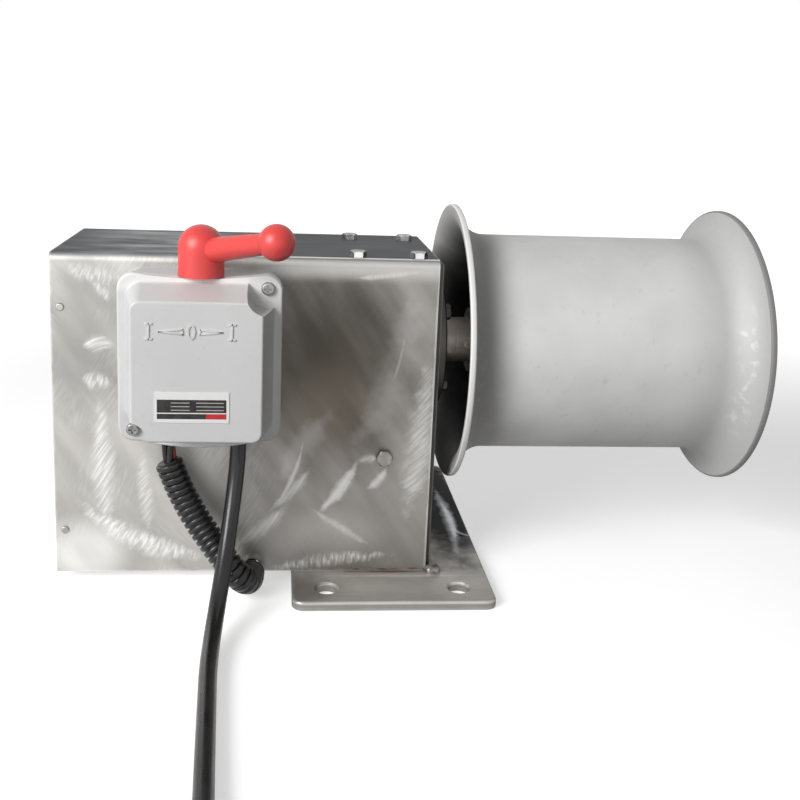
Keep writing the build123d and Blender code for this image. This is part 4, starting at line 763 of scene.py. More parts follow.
@dataclass(frozen=True)
class GroundPlate(Finish):
    """Thick stainless plate: matt skin, fine streaks, patches and strokes in plan, and worn edges; the
    strokes are painted reflections and the upright sides painted shade.
    """

    low: Point = ORIGIN
    high: Point = ORIGIN
    patches: tuple[Patch, ...] = ()
    strokes: tuple[GrindStroke, ...] = ()
    dark: Colour = (0.42, 0.401, 0.375)
    light: Colour = (0.56, 0.536, 0.505)
    edge: Colour = (0.52, 0.505, 0.485)
    # The side tone is painted shade on the plate's upright sides.
    side: Colour = (0.27, 0.258, 0.242)
    # The strokes' bright tone is a painted reflection.
    painted_reflection: Colour = (0.84, 0.86, 0.89)
    along: Point = (10.0, 70.0, 70.0)
    edge_width: float = 2.2
    edge_share: float = 0.5
    clouds: float = 26.0
    fineness: float = 5.0
    line_share: float = 0.3
    spot_share: float = 0.3
    wander_noise: Point = (60.0, 3.0, 0.6)
    wander: float = 0.7
    skin: float = 1.0
    pits: Triple = (420.0, 0.12, 0.3)
    groove: Flat = (0.05, 0.2)
    side_shade_span: Span = (-1.2, -2.4, 0.0, 0.85)
    gloss: Flat = (0.46, 0.36)

    def dress(self, sheet: SkinSheet) -> None:
        """Wires streaks and clouds to the tone, and the worn edges over them.

        Args:
            sheet: The material's nodes.
        """
        plan = sheet.join(sheet.x, 0.0, sheet.y)
        clouds, spots = sheet.mottle(self.clouds)
        lines = sheet.lines(self.along, self.fineness)
        share = sheet.mad(lines, self.line_share, sheet.times(clouds, 1.0 - self.line_share))
        tone = sheet.paint(sheet.tones(share, self.dark, self.light), self.dark, spots, self.spot_share)
        wander = sheet.mad(sheet.noise(sheet.point, *self.wander_noise), self.wander, -self.wander / 2)
        top = sheet.math("GREATER_THAN", sheet.z, self.high[2] - self.skin * MM)
        for patch in self.patches:
            tone = sheet.paint(tone, patch.tone, patch.mask(sheet, plan, wander), top)
        # Painted reflections: the strokes on the top, in the bright reflection tone.
        for stroke in self.strokes:
            tone = sheet.paint(tone, self.painted_reflection, stroke.mask(sheet, plan), top)
        # Painted shade: the upright sides below the top are darker.
        tone = sheet.paint(tone, self.side, sheet.ramp(sheet.z, *self.side_shade_span, self.high[2]))
        tone = sheet.paint(tone, self.edge, sheet.worn(self.low, self.high, self.edge_width), self.edge_share)
        normal = sheet.bump(lines, *self.groove, sheet.grit(*self.pits))
        sheet.coat(tone, sheet.between(share, *self.gloss), normal)


@dataclass(frozen=True)
class BlastedDrum(Clouded):
    """Matt sand-blasted steel with faint stains, a painted shadow at the left end, painted shade towards the
    right end, one scuffed place, and rims with a painted highlight at the left and painted shade at the
    right.

    Spans are in millimetres from the end or from the rim that they are near.
    """

    light: Colour = (0.70, 0.70, 0.695)
    dark: Colour = (0.62, 0.62, 0.615)
    spots: Colour = (0.44, 0.44, 0.43)
    spot_share: float = 0.35
    clouds: float = 17.0
    gloss: Flat = (0.66, 0.58)
    grain: Triple = (1400.0, 0.22, 0.3)
    axis: Flat = (0.0, 0.0)
    ends: Flat = (0.0, 1.0)
    rim: float = 97.0
    # Painted shadow: the dark tone below paints the left flare's shadow on the barrel and the right rim's
    # shade.
    painted_shade: Colour = (0.19, 0.188, 0.18)
    # The bright tone serves the worn scuffs and the left rim's painted highlight.
    bright: Colour = (0.86, 0.855, 0.84)
    painted_shade_span: Flat = (42.0, 12.0)
    painted_shade_share: float = 0.85
    # Painted shade towards the right end, over the flare and its junction with the barrel.
    right_end_shade_span: Flat = (-60.0, -22.0)
    right_end_shade_share: float = 0.6
    scuff_noise: Point = (130.0, 4.0, 0.6)
    scuff_step: Flat = (0.5, 0.66)
    scuff_share: float = 0.4
    scuff_spans: tuple[Flat, Flat] = ((-21.0, -17.0), (-8.0, -13.0))
    scuff_height: Span = (52.0, 26.0, 0.08, 1.0)
    scuff_side: Span = (62.0, 80.0, 0.2, 1.0)
    rim_span: Flat = (-1.8, -0.7)
    rim_fade: Flat = (30.0, 90.0)
    rim_share: float = 0.85

    def marked(self, sheet: SkinSheet, tone: Socket) -> Socket:
        """Adds the painted shadow at the left end, the painted shade towards the right end, the scuffs, and
        the rims' painted highlight and shade.

        Args:
            sheet: The material's nodes.
            tone: The tone that they cover.

        Returns:
            The new tone.
        """
        left, right = self.ends
        reach = sheet.radius(self.axis)
        # Painted shadow of the left flare over the barrel's left end.
        painted_shade = sheet.ramp(sheet.x, *self.painted_shade_span, origin=left)
        # Painted shade towards the right end.
        stain_and_shade = sheet.ramp(sheet.x, *self.right_end_shade_span, origin=right)
        tone = sheet.paint(tone, self.painted_shade, painted_shade, self.painted_shade_share)
        tone = sheet.paint(tone, self.spots, stain_and_shade, self.right_end_shade_share)
        outer, inner = (sheet.ramp(reach, *span, origin=self.rim * MM) for span in self.scuff_spans)
        height = sheet.ramp(sheet.size(sheet.less(sheet.z, self.axis[1])), *self.scuff_height)
        side = sheet.ramp(sheet.x, *self.scuff_side, left)
        scuff = sheet.smooth(sheet.noise(sheet.point, *self.scuff_noise), *self.scuff_step)
        tone = sheet.paint(tone, self.bright, outer, inner, height, side, scuff, self.scuff_share)
        # The rims: a painted highlight at the left end, fading to painted shade at the right.
        rim = sheet.ramp(reach, *self.rim_span, origin=self.rim * MM)
        rim_tone = sheet.tones(sheet.ramp(sheet.x, *self.rim_fade, origin=left), self.bright, self.painted_shade)
        return sheet.blend(sheet.times(rim, self.rim_share), tone, rim_tone)


@dataclass(frozen=True)
class BellInside(Finish):
    """The drum's unblasted inside: grey at the rims, black further in, partly from scale and grease and
    partly painted shade.
    """

    axis: Flat = (0.0, 0.0)
    rim: float = 97.0
    rim_tone: Colour = (0.42, 0.415, 0.405)
    # The deep tone is scale and grease, and painted shade.
    deep_tone: Colour = (0.014, 0.014, 0.015)
    clouds: float = 24.0
    cloud_reach: float = 5.0
    rim_span: Flat = (-28.0, 1.0)
    gloss: Flat = (0.5, 0.64)
    grain: Triple = (900.0, 0.2, 0.2)

    def dress(self, sheet: SkinSheet) -> None:
        """Wires the tone by the distance from the axis, broken by clouds; the darkening further in is partly
        painted shade.

        Args:
            sheet: The material's nodes.
        """
        clouds, _ = sheet.mottle(self.clouds)
        reach = sheet.mad(clouds, self.cloud_reach * MM, sheet.radius(self.axis))
        # Darker further in: partly scale and grease, partly painted shade.
        share = sheet.ramp(reach, *self.rim_span, origin=self.rim * MM)
        tone = sheet.tones(share, self.deep_tone, self.rim_tone)
        sheet.coat(tone, sheet.between(clouds, *self.gloss), sheet.grit(*self.grain))


@dataclass(frozen=True)
class MouldedCover(Clouded):
    """The switch's pale grey skin: nearly even, with painted light on the brow and on the lip below."""

    light: Colour = (0.62, 0.625, 0.62)
    dark: Colour = (0.585, 0.59, 0.585)
    spots: Colour = (0.52, 0.52, 0.505)
    spot_share: float = 0.5
    clouds: float = 26.0
    gloss: Flat = (0.36, 0.44)
    grain: Triple = (900.0, 0.06, 0.25)
    low: Point = ORIGIN
    high: Point = ORIGIN
    # Painted light: the pale tone on the brow and the paler one on the lip stand in for light that falls
    # there.
    pale: Colour = (0.78, 0.78, 0.77)
    lip_painted_light: Colour = (0.95, 0.95, 0.94)
    brow: float = 13.0
    brow_step: float = 0.6
    brow_share: float = 0.8
    brow_depth: Flat = (-12.0, -8.0)
    lip: float = 4.6
    lip_step: float = 0.9

    def marked(self, sheet: SkinSheet, tone: Socket) -> Socket:
        """Adds the painted light on the brow and on the lip.

        Args:
            sheet: The material's nodes.
            tone: The tone that they cover.

        Returns:
            The new tone.
        """
        top = self.high[2]
        # Painted light on the brow.
        brow = sheet.ramp(sheet.z, -self.brow, -self.brow_step * self.brow, 0.0, self.brow_share, top)
        tone = sheet.paint(tone, self.pale, brow, sheet.ramp(sheet.y, *self.brow_depth, origin=self.high[1]))
        # Painted light on the lip below.
        lip = sheet.ramp(sheet.z, self.lip, self.lip_step * self.lip, origin=self.low[2])
        return sheet.paint(tone, self.lip_painted_light, lip)


@dataclass(frozen=True)
class PrintedPlate(Finish):
    """A small printed plate with a white border, a dark field, a ruled foot and one red block.

    The fields, by their left, right, bottom and top, and the rules are in shares of the plate.
    """

    low: Point = ORIGIN
    high: Point = ORIGIN
    border: Colour = (0.80, 0.80, 0.78)
    ink: Colour = (0.018, 0.016, 0.018)
    red: Colour = (0.56, 0.02, 0.03)
    dust: Colour = (0.4, 0.38, 0.35)
    dust_share: float = 0.06
    dark_fields: tuple[Span, ...] = ((0.035, 0.965, 0.33, 0.76), (0.035, 0.965, 0.12, 0.295))
    red_field: Span = (0.69, 0.955, 0.125, 0.29)
    rule_columns: tuple[Flat, ...] = ((0.22, 0.47), (0.56, 0.93))
    rule_rows: Span = (0.415, 0.535, 0.655)
    rule_half: float = 0.012
    rule_strength: float = 0.6
    clouds: float = 160.0
    gloss: Flat = (0.3, 0.42)

    def dress(self, sheet: SkinSheet) -> None:
        """Wires the printed fields by their place on the plate.

        Args:
            sheet: The material's nodes.
        """
        across = sheet.math("DIVIDE", sheet.less(sheet.x, self.low[0]), self.high[0] - self.low[0])
        up = sheet.math("DIVIDE", sheet.less(sheet.z, self.low[2]), self.high[2] - self.low[2])
        fields = [(place, self.ink, 1.0) for place in self.dark_fields] + [(self.red_field, self.red, 1.0)]
        fields += [((*column, row - self.rule_half, row + self.rule_half), self.border, self.rule_strength)
                   for row in self.rule_rows for column in self.rule_columns]
        tone = shade(self.border)
        for (left, right, bottom, top), colour, strength in fields:
            inside = [sheet.math("GREATER_THAN", across, left), sheet.math("LESS_THAN", across, right),
                      sheet.math("GREATER_THAN", up, bottom), sheet.math("LESS_THAN", up, top)]
            tone = sheet.paint(tone, colour, *inside, strength)
        clouds, _ = sheet.mottle(self.clouds)
        tone = sheet.paint(tone, self.dust, clouds, self.dust_share)
        sheet.coat(tone, sheet.between(clouds, *self.gloss))


class Workshop:
    """Makes finishes once and puts them on pieces."""

    def __init__(self) -> None:
        """Starts with the shared effects and no materials."""
        self.effects = Effects()
        self.made: dict[str, bpy.types.Material] = {}

    def material(self, finish: Finish) -> bpy.types.Material:
        """The finish's material, built the first time it is asked for.

        Args:
            finish: The finish.

        Returns:
            Its material.
        """
        if finish.name not in self.made:
            self.made[finish.name] = finish.material(self.effects)
        return self.made[finish.name]

    def dress(self, finish: Finish, *nodes: str) -> None:
        """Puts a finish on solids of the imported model.

        Args:
            finish: The finish.
            *nodes: The nodes' names.
        """
        for node in nodes:
            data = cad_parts[node].data
            data.materials.clear()
            data.materials.append(self.material(finish))
            log.info("dressed %s in %s", node, finish.name)

    def piece(self, name: str, shape: bmesh.types.BMesh, finishes: Sequence[Finish], body: Body, slot: Slot,
              replaces: Sequence[str] = (), sharp: float = 32.0) -> bpy.types.Object:
        """Turns a finished bmesh into a piece of the winch.

        Args:
            name: The piece's name.
            shape: Its mesh, in place.
            finishes: Its finishes, in the order of its faces' material indices.
            body: The body that it rides on.
            slot: The record's slot of its finish.
            replaces: The solids that it stands for.
            sharp: The angle in degrees past which an edge stays sharp.

        Returns:
            The piece's object.
        """
        data = bpy.data.meshes.new(name)
        for face in shape.faces:
            face.smooth = True
        shape.to_mesh(data)
        shape.free()
        data.set_sharp_from_angle(angle=math.radians(sharp))
        for finish in finishes:
            data.materials.append(self.material(finish))
        return self.settle(stand(name, data), body, slot, replaces)

    @staticmethod
    def settle(made: bpy.types.Object, body: Body, slot: Slot,
               replaces: Sequence[str] = ()) -> bpy.types.Object:
        """Rides a piece on its body and hides the solids that it stands for.

        Args:
            made: The piece.
            body: The body that it rides on.
            slot: The record's slot of its finish; not used.
            replaces: The solids that it stands for.

        Returns:
            The piece.
        """
        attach(made, body.value)
        if replaces:
            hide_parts(*replaces)
        log.info("made %s on %s", made.name, body.value)
        return made


def nurbs(name: str, points: Sequence[Vector], steps: int) -> bpy.types.Curve:
    """One smooth open spline along control points.

    Args:
        name: The curve's name.
        points: The control points, in metres.
        steps: Points drawn for each control point.

    Returns:
        The curve's data.
    """
    data = bpy.data.curves.new(name, "CURVE")
    data.dimensions = "3D"
    spline = data.splines.new("NURBS")
    spline.points.add(len(points) - 1)
    for target, point in zip(spline.points, points):
        target.co = (*point, 1.0)
    spline.order_u = 3
    spline.use_endpoint_u = True
    data.resolution_u = steps
    spline.resolution_u = steps
    return data


class Line:
    """Points read from a bare spline, with places at any distance along it."""

    AIM_STEPS = 400

    def __init__(self, points: Sequence[Vector], steps: int = 24) -> None:
        """Reads the spline's own points.

        Args:
            points: The control points.
            steps: Points read for each control point.
        """
        data = nurbs("bare_line", points, steps)
        bare = stand("bare_line", data)
        bpy.context.view_layer.update()
        read = bpy.data.meshes.new_from_object(bare)
        self.points = [vertex.co.copy() for vertex in read.vertices]
        bpy.data.objects.remove(bare)
        bpy.data.curves.remove(data)
        bpy.data.meshes.remove(read)
        self.marks = [0.0, *accumulate((b - a).length for a, b in zip(self.points, self.points[1:]))]
        self.length = self.marks[-1]

    def at(self, distance: float) -> Vector:
        """The place on the line at a distance in metres.

        Args:
            distance: How far it is from the line's start.

        Returns:
            The place.
        """
        distance = min(max(distance, 0.0), self.length)
        after = bisect_left(self.marks, distance, 1)
        start, end = self.marks[after - 1:after + 1]
        return self.points[after - 1].lerp(self.points[after], (distance - start) / (end - start))

    def frames(self, distances: Sequence[float]) -> list[Matrix]:
        """Upright frames along the line, whose Z runs on and which don't twist.

        Args:
            distances: Where they stand.

        Returns:
            One matrix for each distance.
        """
        step = self.length / self.AIM_STEPS
        aims = [(self.at(distance + step) - self.at(distance - step)).normalized() for distance in distances]
        turn = aims[0].to_track_quat("Z", "Y")
        found = []
        for before, aim, distance in zip([aims[0], *aims], aims, distances):
            if found:
                turn = before.rotation_difference(aim) @ turn
            found.append(Matrix.Translation(self.at(distance)) @ turn.to_matrix().to_4x4())
        return found


def tube(shape: bmesh.types.BMesh, rings: Sequence[tuple[Matrix, float]], sides: int) -> None:
    """Adds a closed tube through rings.

    Args:
        shape: The mesh that it is added to.
        rings: Each ring's frame and radius, in order.
        sides: Points round each ring.
    """
    before = None
    for index, (matrix, radius) in enumerate(rings):
        end = index in (0, len(rings) - 1)
        made = bmesh.ops.create_circle(shape, segments=sides, radius=radius, cap_ends=end, matrix=matrix)
        edges = list({edge for vertex in made["verts"] for edge in vertex.link_edges})
        if before is not None:
            bmesh.ops.bridge_loops(shape, edges=before + edges)
        before = edges
    bmesh.ops.recalc_face_normals(shape, faces=shape.faces)


class Outline:
    """An outline of edges in the half plane of a turned piece: X along its axis, Z away from it."""

    def __init__(self, shape: bmesh.types.BMesh, start: Vector) -> None:
        """Starts the outline at a point."""
        self.shape = shape
        self.tip = shape.verts.new(start)

    def line(self, end: Vector) -> None:
        """Draws a straight line to a point."""
        self.tip = bmesh.ops.extrude_vert_indiv(self.shape, verts=[self.tip])["verts"][0]
        self.tip.co = end

    def arc(self, centre: Vector, degrees: float, steps: int) -> None:
        """Draws an arc about a centre, anticlockwise as seen along +Y.

        Args:
            centre: The arc's centre.
            degrees: How far it turns.
            steps: Its number of edges.
        """
        made = bmesh.ops.spin(self.shape, geom=[self.tip], cent=centre, axis=(0.0, 1.0, 0.0),
                              angle=math.radians(degrees), steps=steps, use_duplicate=False)
        self.tip = next(item for item in made["geom_last"] if isinstance(item, bmesh.types.BMVert))

    def turn(self, centre: Vector, steps: int) -> None:
        """Spins the whole outline once round an axis along X and closes it.

        Args:
            centre: A point on the axis.
            steps: Points round it.
        """
        bmesh.ops.remove_doubles(self.shape, verts=self.shape.verts, dist=SAME_SPOT)
        bmesh.ops.spin(self.shape, geom=[*self.shape.verts, *self.shape.edges], cent=centre,
                       axis=(1.0, 0.0, 0.0), angle=math.tau, steps=steps, use_merge=True)
        bmesh.ops.remove_doubles(self.shape, verts=self.shape.verts, dist=SAME_SPOT)
        bmesh.ops.recalc_face_normals(self.shape, faces=self.shape.faces)


CAST_ALUMINIUM = Clouded(
    "cast_aluminium", 1.0, light=(0.60, 0.61, 0.62), dark=(0.48, 0.49, 0.50), spots=(0.38, 0.38, 0.39),
    clouds=40.0, gloss=(0.5, 0.62), grain=(700.0, 0.3, 0.4),
)
BRONZE = Clouded(
    "sintered_bronze", 1.0, light=(0.66, 0.48, 0.25), dark=(0.52, 0.36, 0.17), spots=(0.36, 0.25, 0.12),
    clouds=60.0, gloss=(0.38, 0.5),
)
LAMINATIONS = DrawnMetal(
    "stacked_laminations", 1.0, light=(0.34, 0.34, 0.35), dark=(0.16, 0.16, 0.17), along=(900.0, 1.0, 1.0),
    fineness=1.0,
)
COPPER = DrawnMetal(
    "wound_copper", 1.0, light=(0.76, 0.44, 0.27), dark=(0.52, 0.25, 0.13), along=(30.0, 30.0, 30.0),
    fineness=20.0,
)
MACHINED_STEEL = DrawnMetal(
    "machined_steel", 1.0, light=(0.42, 0.40, 0.38), dark=(0.24, 0.225, 0.21), along=(260.0, 6.0, 6.0),
    fineness=6.0, gloss=(0.45, 0.28),
)
# Painted light: pale tones that stand in for light on the shaded shaft and its pin.
SHAFT_STEEL_PAINTED_LIGHT = DrawnMetal(
    "shaft_steel_painted_light", 0.7, light=(0.92, 0.83, 0.75), dark=(0.66, 0.58, 0.51), along=(260.0, 6.0, 6.0),
    fineness=6.0, gloss=(0.45, 0.3),
)
BRIGHT_FASTENER = Clouded(
    "bright_fastener", 1.0, light=(0.66, 0.66, 0.65), dark=(0.44, 0.435, 0.425), spots=(0.30, 0.29, 0.27),
    clouds=130.0, gloss=(0.2, 0.34), grain=(900.0, 0.1, 0.2), edge_shine=0.5,
)
DULL_FASTENER = Clouded(
    "dull_fastener", 1.0, light=(0.36, 0.345, 0.325), dark=(0.23, 0.22, 0.205), spots=(0.13, 0.11, 0.09),
    clouds=160.0, gloss=(0.34, 0.5), grain=(800.0, 0.25, 0.2), edge_shine=0.4,
)
# Painted shade: the flange bolts are darkened where the drum shades them.
SHADED_FASTENER = Clouded(
    "shaded_fastener", 0.8, light=(0.17, 0.162, 0.152), dark=(0.10, 0.095, 0.088), spots=(0.06, 0.055, 0.05),
    clouds=160.0, gloss=(0.34, 0.5), grain=(800.0, 0.2, 0.2), edge_shine=0.3,
)
SHEET_RIVET = Clouded(
    "sheet_rivet", 1.0, light=(0.40, 0.388, 0.368), dark=(0.31, 0.30, 0.285), spots=(0.22, 0.21, 0.2),
    clouds=160.0, gloss=(0.4, 0.5), grain=(800.0, 0.15, 0.2), edge_shine=0.4,
)
SCREW_STEEL = Clouded(
    "screw_steel", 0.8, light=(0.34, 0.34, 0.335), dark=(0.21, 0.21, 0.206), spots=(0.13, 0.13, 0.127),
    clouds=200.0, gloss=(0.36, 0.5), grain=(900.0, 0.15, 0.2), edge_shine=0.4,
)
WELD_METAL = Clouded(
    "weld_metal", 0.8, light=(0.36, 0.35, 0.335), dark=(0.15, 0.14, 0.13), spots=(0.13, 0.08, 0.05),
    clouds=260.0, gloss=(0.34, 0.5), grain=(600.0, 0.4, 0.4), edge_shine=0.4,
)
# Near black for the drum's webs, hub and key: dark scale, and painted shade where the bell hides them.
DARK_SCALE_AND_SHADE = Clouded(
    "dark_scale_and_shade", 0.0, light=(0.028, 0.027, 0.028), dark=(0.014, 0.014, 0.015), spots=(0.045, 0.042, 0.04),
    clouds=30.0, gloss=(0.55, 0.7), grain=(900.0, 0.2, 0.2), edge_shine=0.2, gleam=0.08,
)
SWITCH_PAINT = Clouded(
    "switch_paint", light=(0.62, 0.625, 0.62), dark=(0.585, 0.59, 0.585), spots=(0.52, 0.52, 0.505),
    clouds=26.0, gloss=(0.36, 0.44), grain=(900.0, 0.06, 0.25),
)
RED_GLOSS = Clouded(
    "red_gloss", light=(0.71, 0.05, 0.045), dark=(0.64, 0.042, 0.038), spots=(0.56, 0.038, 0.034),
    clouds=40.0, gloss=(0.36, 0.44), grain=(700.0, 0.04, 0.2), gleam=0.65,
)
BLACK_RUBBER = Clouded(
    "black_rubber", light=(0.013, 0.013, 0.0135), dark=(0.008, 0.008, 0.0085), spots=(0.025, 0.024, 0.023),
    clouds=60.0, gloss=(0.26, 0.34), grain=(1300.0, 0.06, 0.2), gleam=0.4,
)
BLACK_MOULDING = Clouded(
    "black_moulding", light=(0.02, 0.02, 0.021), dark=(0.012, 0.012, 0.013), spots=(0.035, 0.035, 0.035),
    clouds=80.0, gloss=(0.32, 0.46), grain=(1500.0, 0.08, 0.2), gleam=0.3,
)
CONDUIT_PLASTIC = Clouded(
    "conduit_plastic", light=(0.014, 0.014, 0.0145), dark=(0.009, 0.009, 0.0095), spots=(0.025, 0.025, 0.025),
    clouds=90.0, gloss=(0.26, 0.36), grain=(1500.0, 0.06, 0.2), gleam=0.4,
)
RED_WIRE = Clouded(
    "red_insulation", light=(0.56, 0.075, 0.045), dark=(0.44, 0.05, 0.032), spots=(0.30, 0.05, 0.03),
    clouds=200.0, gloss=(0.3, 0.45),
)


@dataclass
class Casing:
    """The bent sheet casing with its ends, fasteners and shaft outlet."""

    # Painted reflections, light and shade on the front panel, as soft patches: the first is the dark
    # reflection beside the switch; among the rest are a darker top left, a bright lower left and the shade
    # under the switch.
    patches: tuple[Patch, ...] = tuple(Patch(*row) for row in (
        ((-45.0, 150.0), (82.0, 95.0), (0.075, 0.067, 0.057)),
        ((-42.0, 118.0), (42.0, 40.0), (0.165, 0.138, 0.113), 0.5),
        ((-203.0, 178.0), (50.0, 72.0), (0.285, 0.277, 0.262), 0.9),
        ((-205.0, 20.0), (32.0, 26.0), (0.80, 0.785, 0.76), 0.85),
        ((-150.0, 12.0), (30.0, 12.0), (0.40, 0.385, 0.36), 0.6),
        ((-126.0, 96.0), (44.0, 24.0), (0.30, 0.288, 0.27), 0.5),
        ((-44.0, 30.0), (44.0, 24.0), (0.43, 0.412, 0.39), 0.7),
        ((20.0, 190.0), (24.0, 40.0), (0.27, 0.26, 0.245), 0.6),
    ))
    strokes: tuple[GrindStroke, ...] = tuple(GrindStroke(*row) for row in (
        ((-193.0, 126.0), (-192.0, 78.0), (-189.5, 34.0), 19.0, 0.7, 58.0, 0.75, 1.8),
        ((-197.0, 46.0), (-168.5, 28.5), (-123.0, 16.5), 19.0, 0.85, 62.0, 0.7, 2.2),
        ((-166.0, 90.0), (-165.0, 60.5), (-161.5, 33.0), 13.0, 0.55, 50.0, 0.75, 1.7),
        ((-209.0, 213.0), (-195.0, 208.0), (-174.0, 208.0), 16.0, 0.4, 75.0, 0.8, 1.7),
        ((-196.0, 203.0), (-191.0, 198.0), (-187.0, 191.0), 9.0, 0.45, 70.0, 0.7, 1.7),
        ((-203.0, 162.0), (-194.0, 164.0), (-184.0, 162.5), 13.0, 0.7, 20.0, 0.7, 1.7),
        ((-205.0, 141.0), (-195.0, 138.0), (-185.0, 136.0), 15.0, 0.55, 72.0, 0.8, 1.8),
        ((-60.6, 102.7), (-67.6, 73.3), (-79.0, 52.0), 4.5, 0.36, None, 0.15),
        ((-57.0, 77.5), (-68.5, 63.0), (-84.0, 48.0), 9.0, 0.36, 60.0, 0.45, 1.6),
        ((-26.5, 81.0), (-35.5, 65.0), (-49.0, 48.0), 10.0, 0.6, 60.0, 0.3),
        ((-6.0, 77.5), (-10.0, 71.5), (-18.0, 65.0), 8.0, 0.45, None, 0.2),
        ((-22.0, 86.0), (-17.5, 86.5), (-11.0, 88.0), 8.0, 0.4, 45.0, 0.5),
        ((-48.0, 46.5), (-34.5, 37.5), (-13.5, 24.5), 7.0, 0.32, None, 0.4),
        ((21.0, 150.0), (18.0, 100.0), (9.0, 45.0), 24.0, 0.42, 45.0, 0.55, 1.6),
        ((4.6, 174.0), (1.4, 155.6), (-3.0, 138.0), 3.6, 0.22, None, 0.1),
        ((-70.0, 9.5), (-41.5, 14.0), (0.0, 17.5), 13.0, 0.75, 88.0, 0.8, 2.1),
        ((-103.5, 26.0), (-86.5, 37.5), (-69.5, 56.0), 13.0, 0.45, 55.0, 0.5),
        ((-99.0, 15.0), (-94.0, 16.0), (-87.0, 14.5), 9.0, 0.6, 60.0, 0.6),
        ((-33.0, 209.0), (-8.0, 211.5), (16.0, 215.0), 4.5, 0.5, None, 0.4),
        ((6.0, 198.0), (0.0, 145.5), (-30.0, 92.0), 30.0, 0.1, None, 0.0),
        ((-42.5, 120.0), (-61.5, 95.5), (-72.0, 80.0), 24.0, 0.13, None, 0.0),
    ))
    # The end plate's and the flange's tones, dark, light and side, are painted shade.
    skin: tuple[Colour, Colour, Colour] = ((0.05, 0.047, 0.044), (0.10, 0.095, 0.09), (0.06, 0.056, 0.052))
    skin_edge: Colour = (0.30, 0.29, 0.275)
    flange_lightness: float = 2.2

    def build(self, shop: Workshop) -> None:
        """Dresses the sheet, its end plates and everything fixed to them.

        Args:
            shop: Where finishes are made.
        """
        sheet = GroundSheet("ground_sheet", 1.0, *corners("casing_wrap"), self.patches, self.strokes,
                            edge_shine=0.3)
        shop.dress(sheet, "casing_wrap", "casing_left_end", "casing_bottom")
        # The right end plate and the bearing flange take painted shade as their colour.
        self.plain_plate(shop, "casing_right_end", 1.0)
        self.plain_plate(shop, "bearing_flange", self.flange_lightness)
        shop.dress(BRIGHT_FASTENER, "lid_bolts")
        shop.dress(DULL_FASTENER, "side_bolts")
        shop.dress(SHADED_FASTENER, "flange_bolts")
        shop.dress(SHEET_RIVET, "end_rivets")
        shop.dress(BLACK_RUBBER, "shaft_seal")

    def plain_plate(self, shop: Workshop, node: str, lightness: float) -> None:
        """Dresses a plate of the drum's side in dark tones, which are painted shade.

        Args:
            shop: Where finishes are made.
            node: The plate's name.
            lightness: How much lighter its skin is than the darkest.
        """
        dark, light, side = (tuple(part * lightness for part in tone) for tone in self.skin)
        plate = GroundPlate(f"skin_of_{node}", 0.6, *corners(node), dark=dark, light=light, side=side,
                            edge=self.skin_edge, along=(60.0, 60.0, 6.0), edge_width=1.0, edge_share=0.35,
                            edge_shine=0.4)
        shop.dress(plate, node)


@dataclass
class Welds:
    """The welds at the casing's foot: two rippled seams and a blob at the front corner."""

    seams: tuple[tuple[Point, Point], ...] = (
        ((28.9, -75.5, 6.9), (28.9, 37.5, 6.9)),
        ((-58.5, 41.9, 6.9), (18.5, 41.9, 6.9)),
    )
    bead: float = 2.5
    end_share: float = 0.6
    ripple: float = 0.3
    ripple_pitch: float = 2.4
    ripple_steps: int = 6
    sides: int = 16
    blob: Point = (29.4, -80.4, 6.8)
    blob_size: Triple = (5.8, 5.2, 4.6)
    blob_lumps: float = 0.7
    lump_scale: float = 230.0

    def build(self, shop: Workshop) -> None:
        """Lays the seams and the lumpy blob.

        Args:
            shop: Where pieces are made.
        """
        shape = bmesh.new()
        for start, end in self.seams:
            self.seam(shape, mm(*start), mm(*end))
        middle = mm(*self.blob)
        place = Matrix.Translation(middle) @ Matrix.Diagonal((*self.blob_size, 1.0))
        for vertex in bmesh.ops.create_icosphere(shape, subdivisions=4, radius=MM, matrix=place)["verts"]:
            away = (vertex.co - middle).normalized()
            vertex.co += away * noise.noise(vertex.co * self.lump_scale) * self.blob_lumps * MM
        bmesh.ops.recalc_face_normals(shape, faces=shape.faces)
        shop.piece("weld_seams", shape, [WELD_METAL], Body.WINCH, Slot.WELD, ["weld_beads"], SOFT_EDGES)

    def seam(self, shape: bmesh.types.BMesh, start: Vector, end: Vector) -> None:
        """Adds one rippled seam.

        Args:
            shape: The welds' mesh.
            start: Where it begins.
            end: Where it ends.
        """
        turn = (end - start).to_track_quat("Z", "Y").to_matrix().to_4x4()
        count = round((end - start).length / (self.ripple_pitch * MM)) * self.ripple_steps
        rings = []
        for index in range(count + 1):
            phase = index % self.ripple_steps / self.ripple_steps
            radius = self.bead - self.ripple * phase if 0 < index < count else self.end_share * self.bead
            rings.append((Matrix.Translation(start.lerp(end, index / count)) @ turn, radius * MM))
        tube(shape, rings, self.sides)


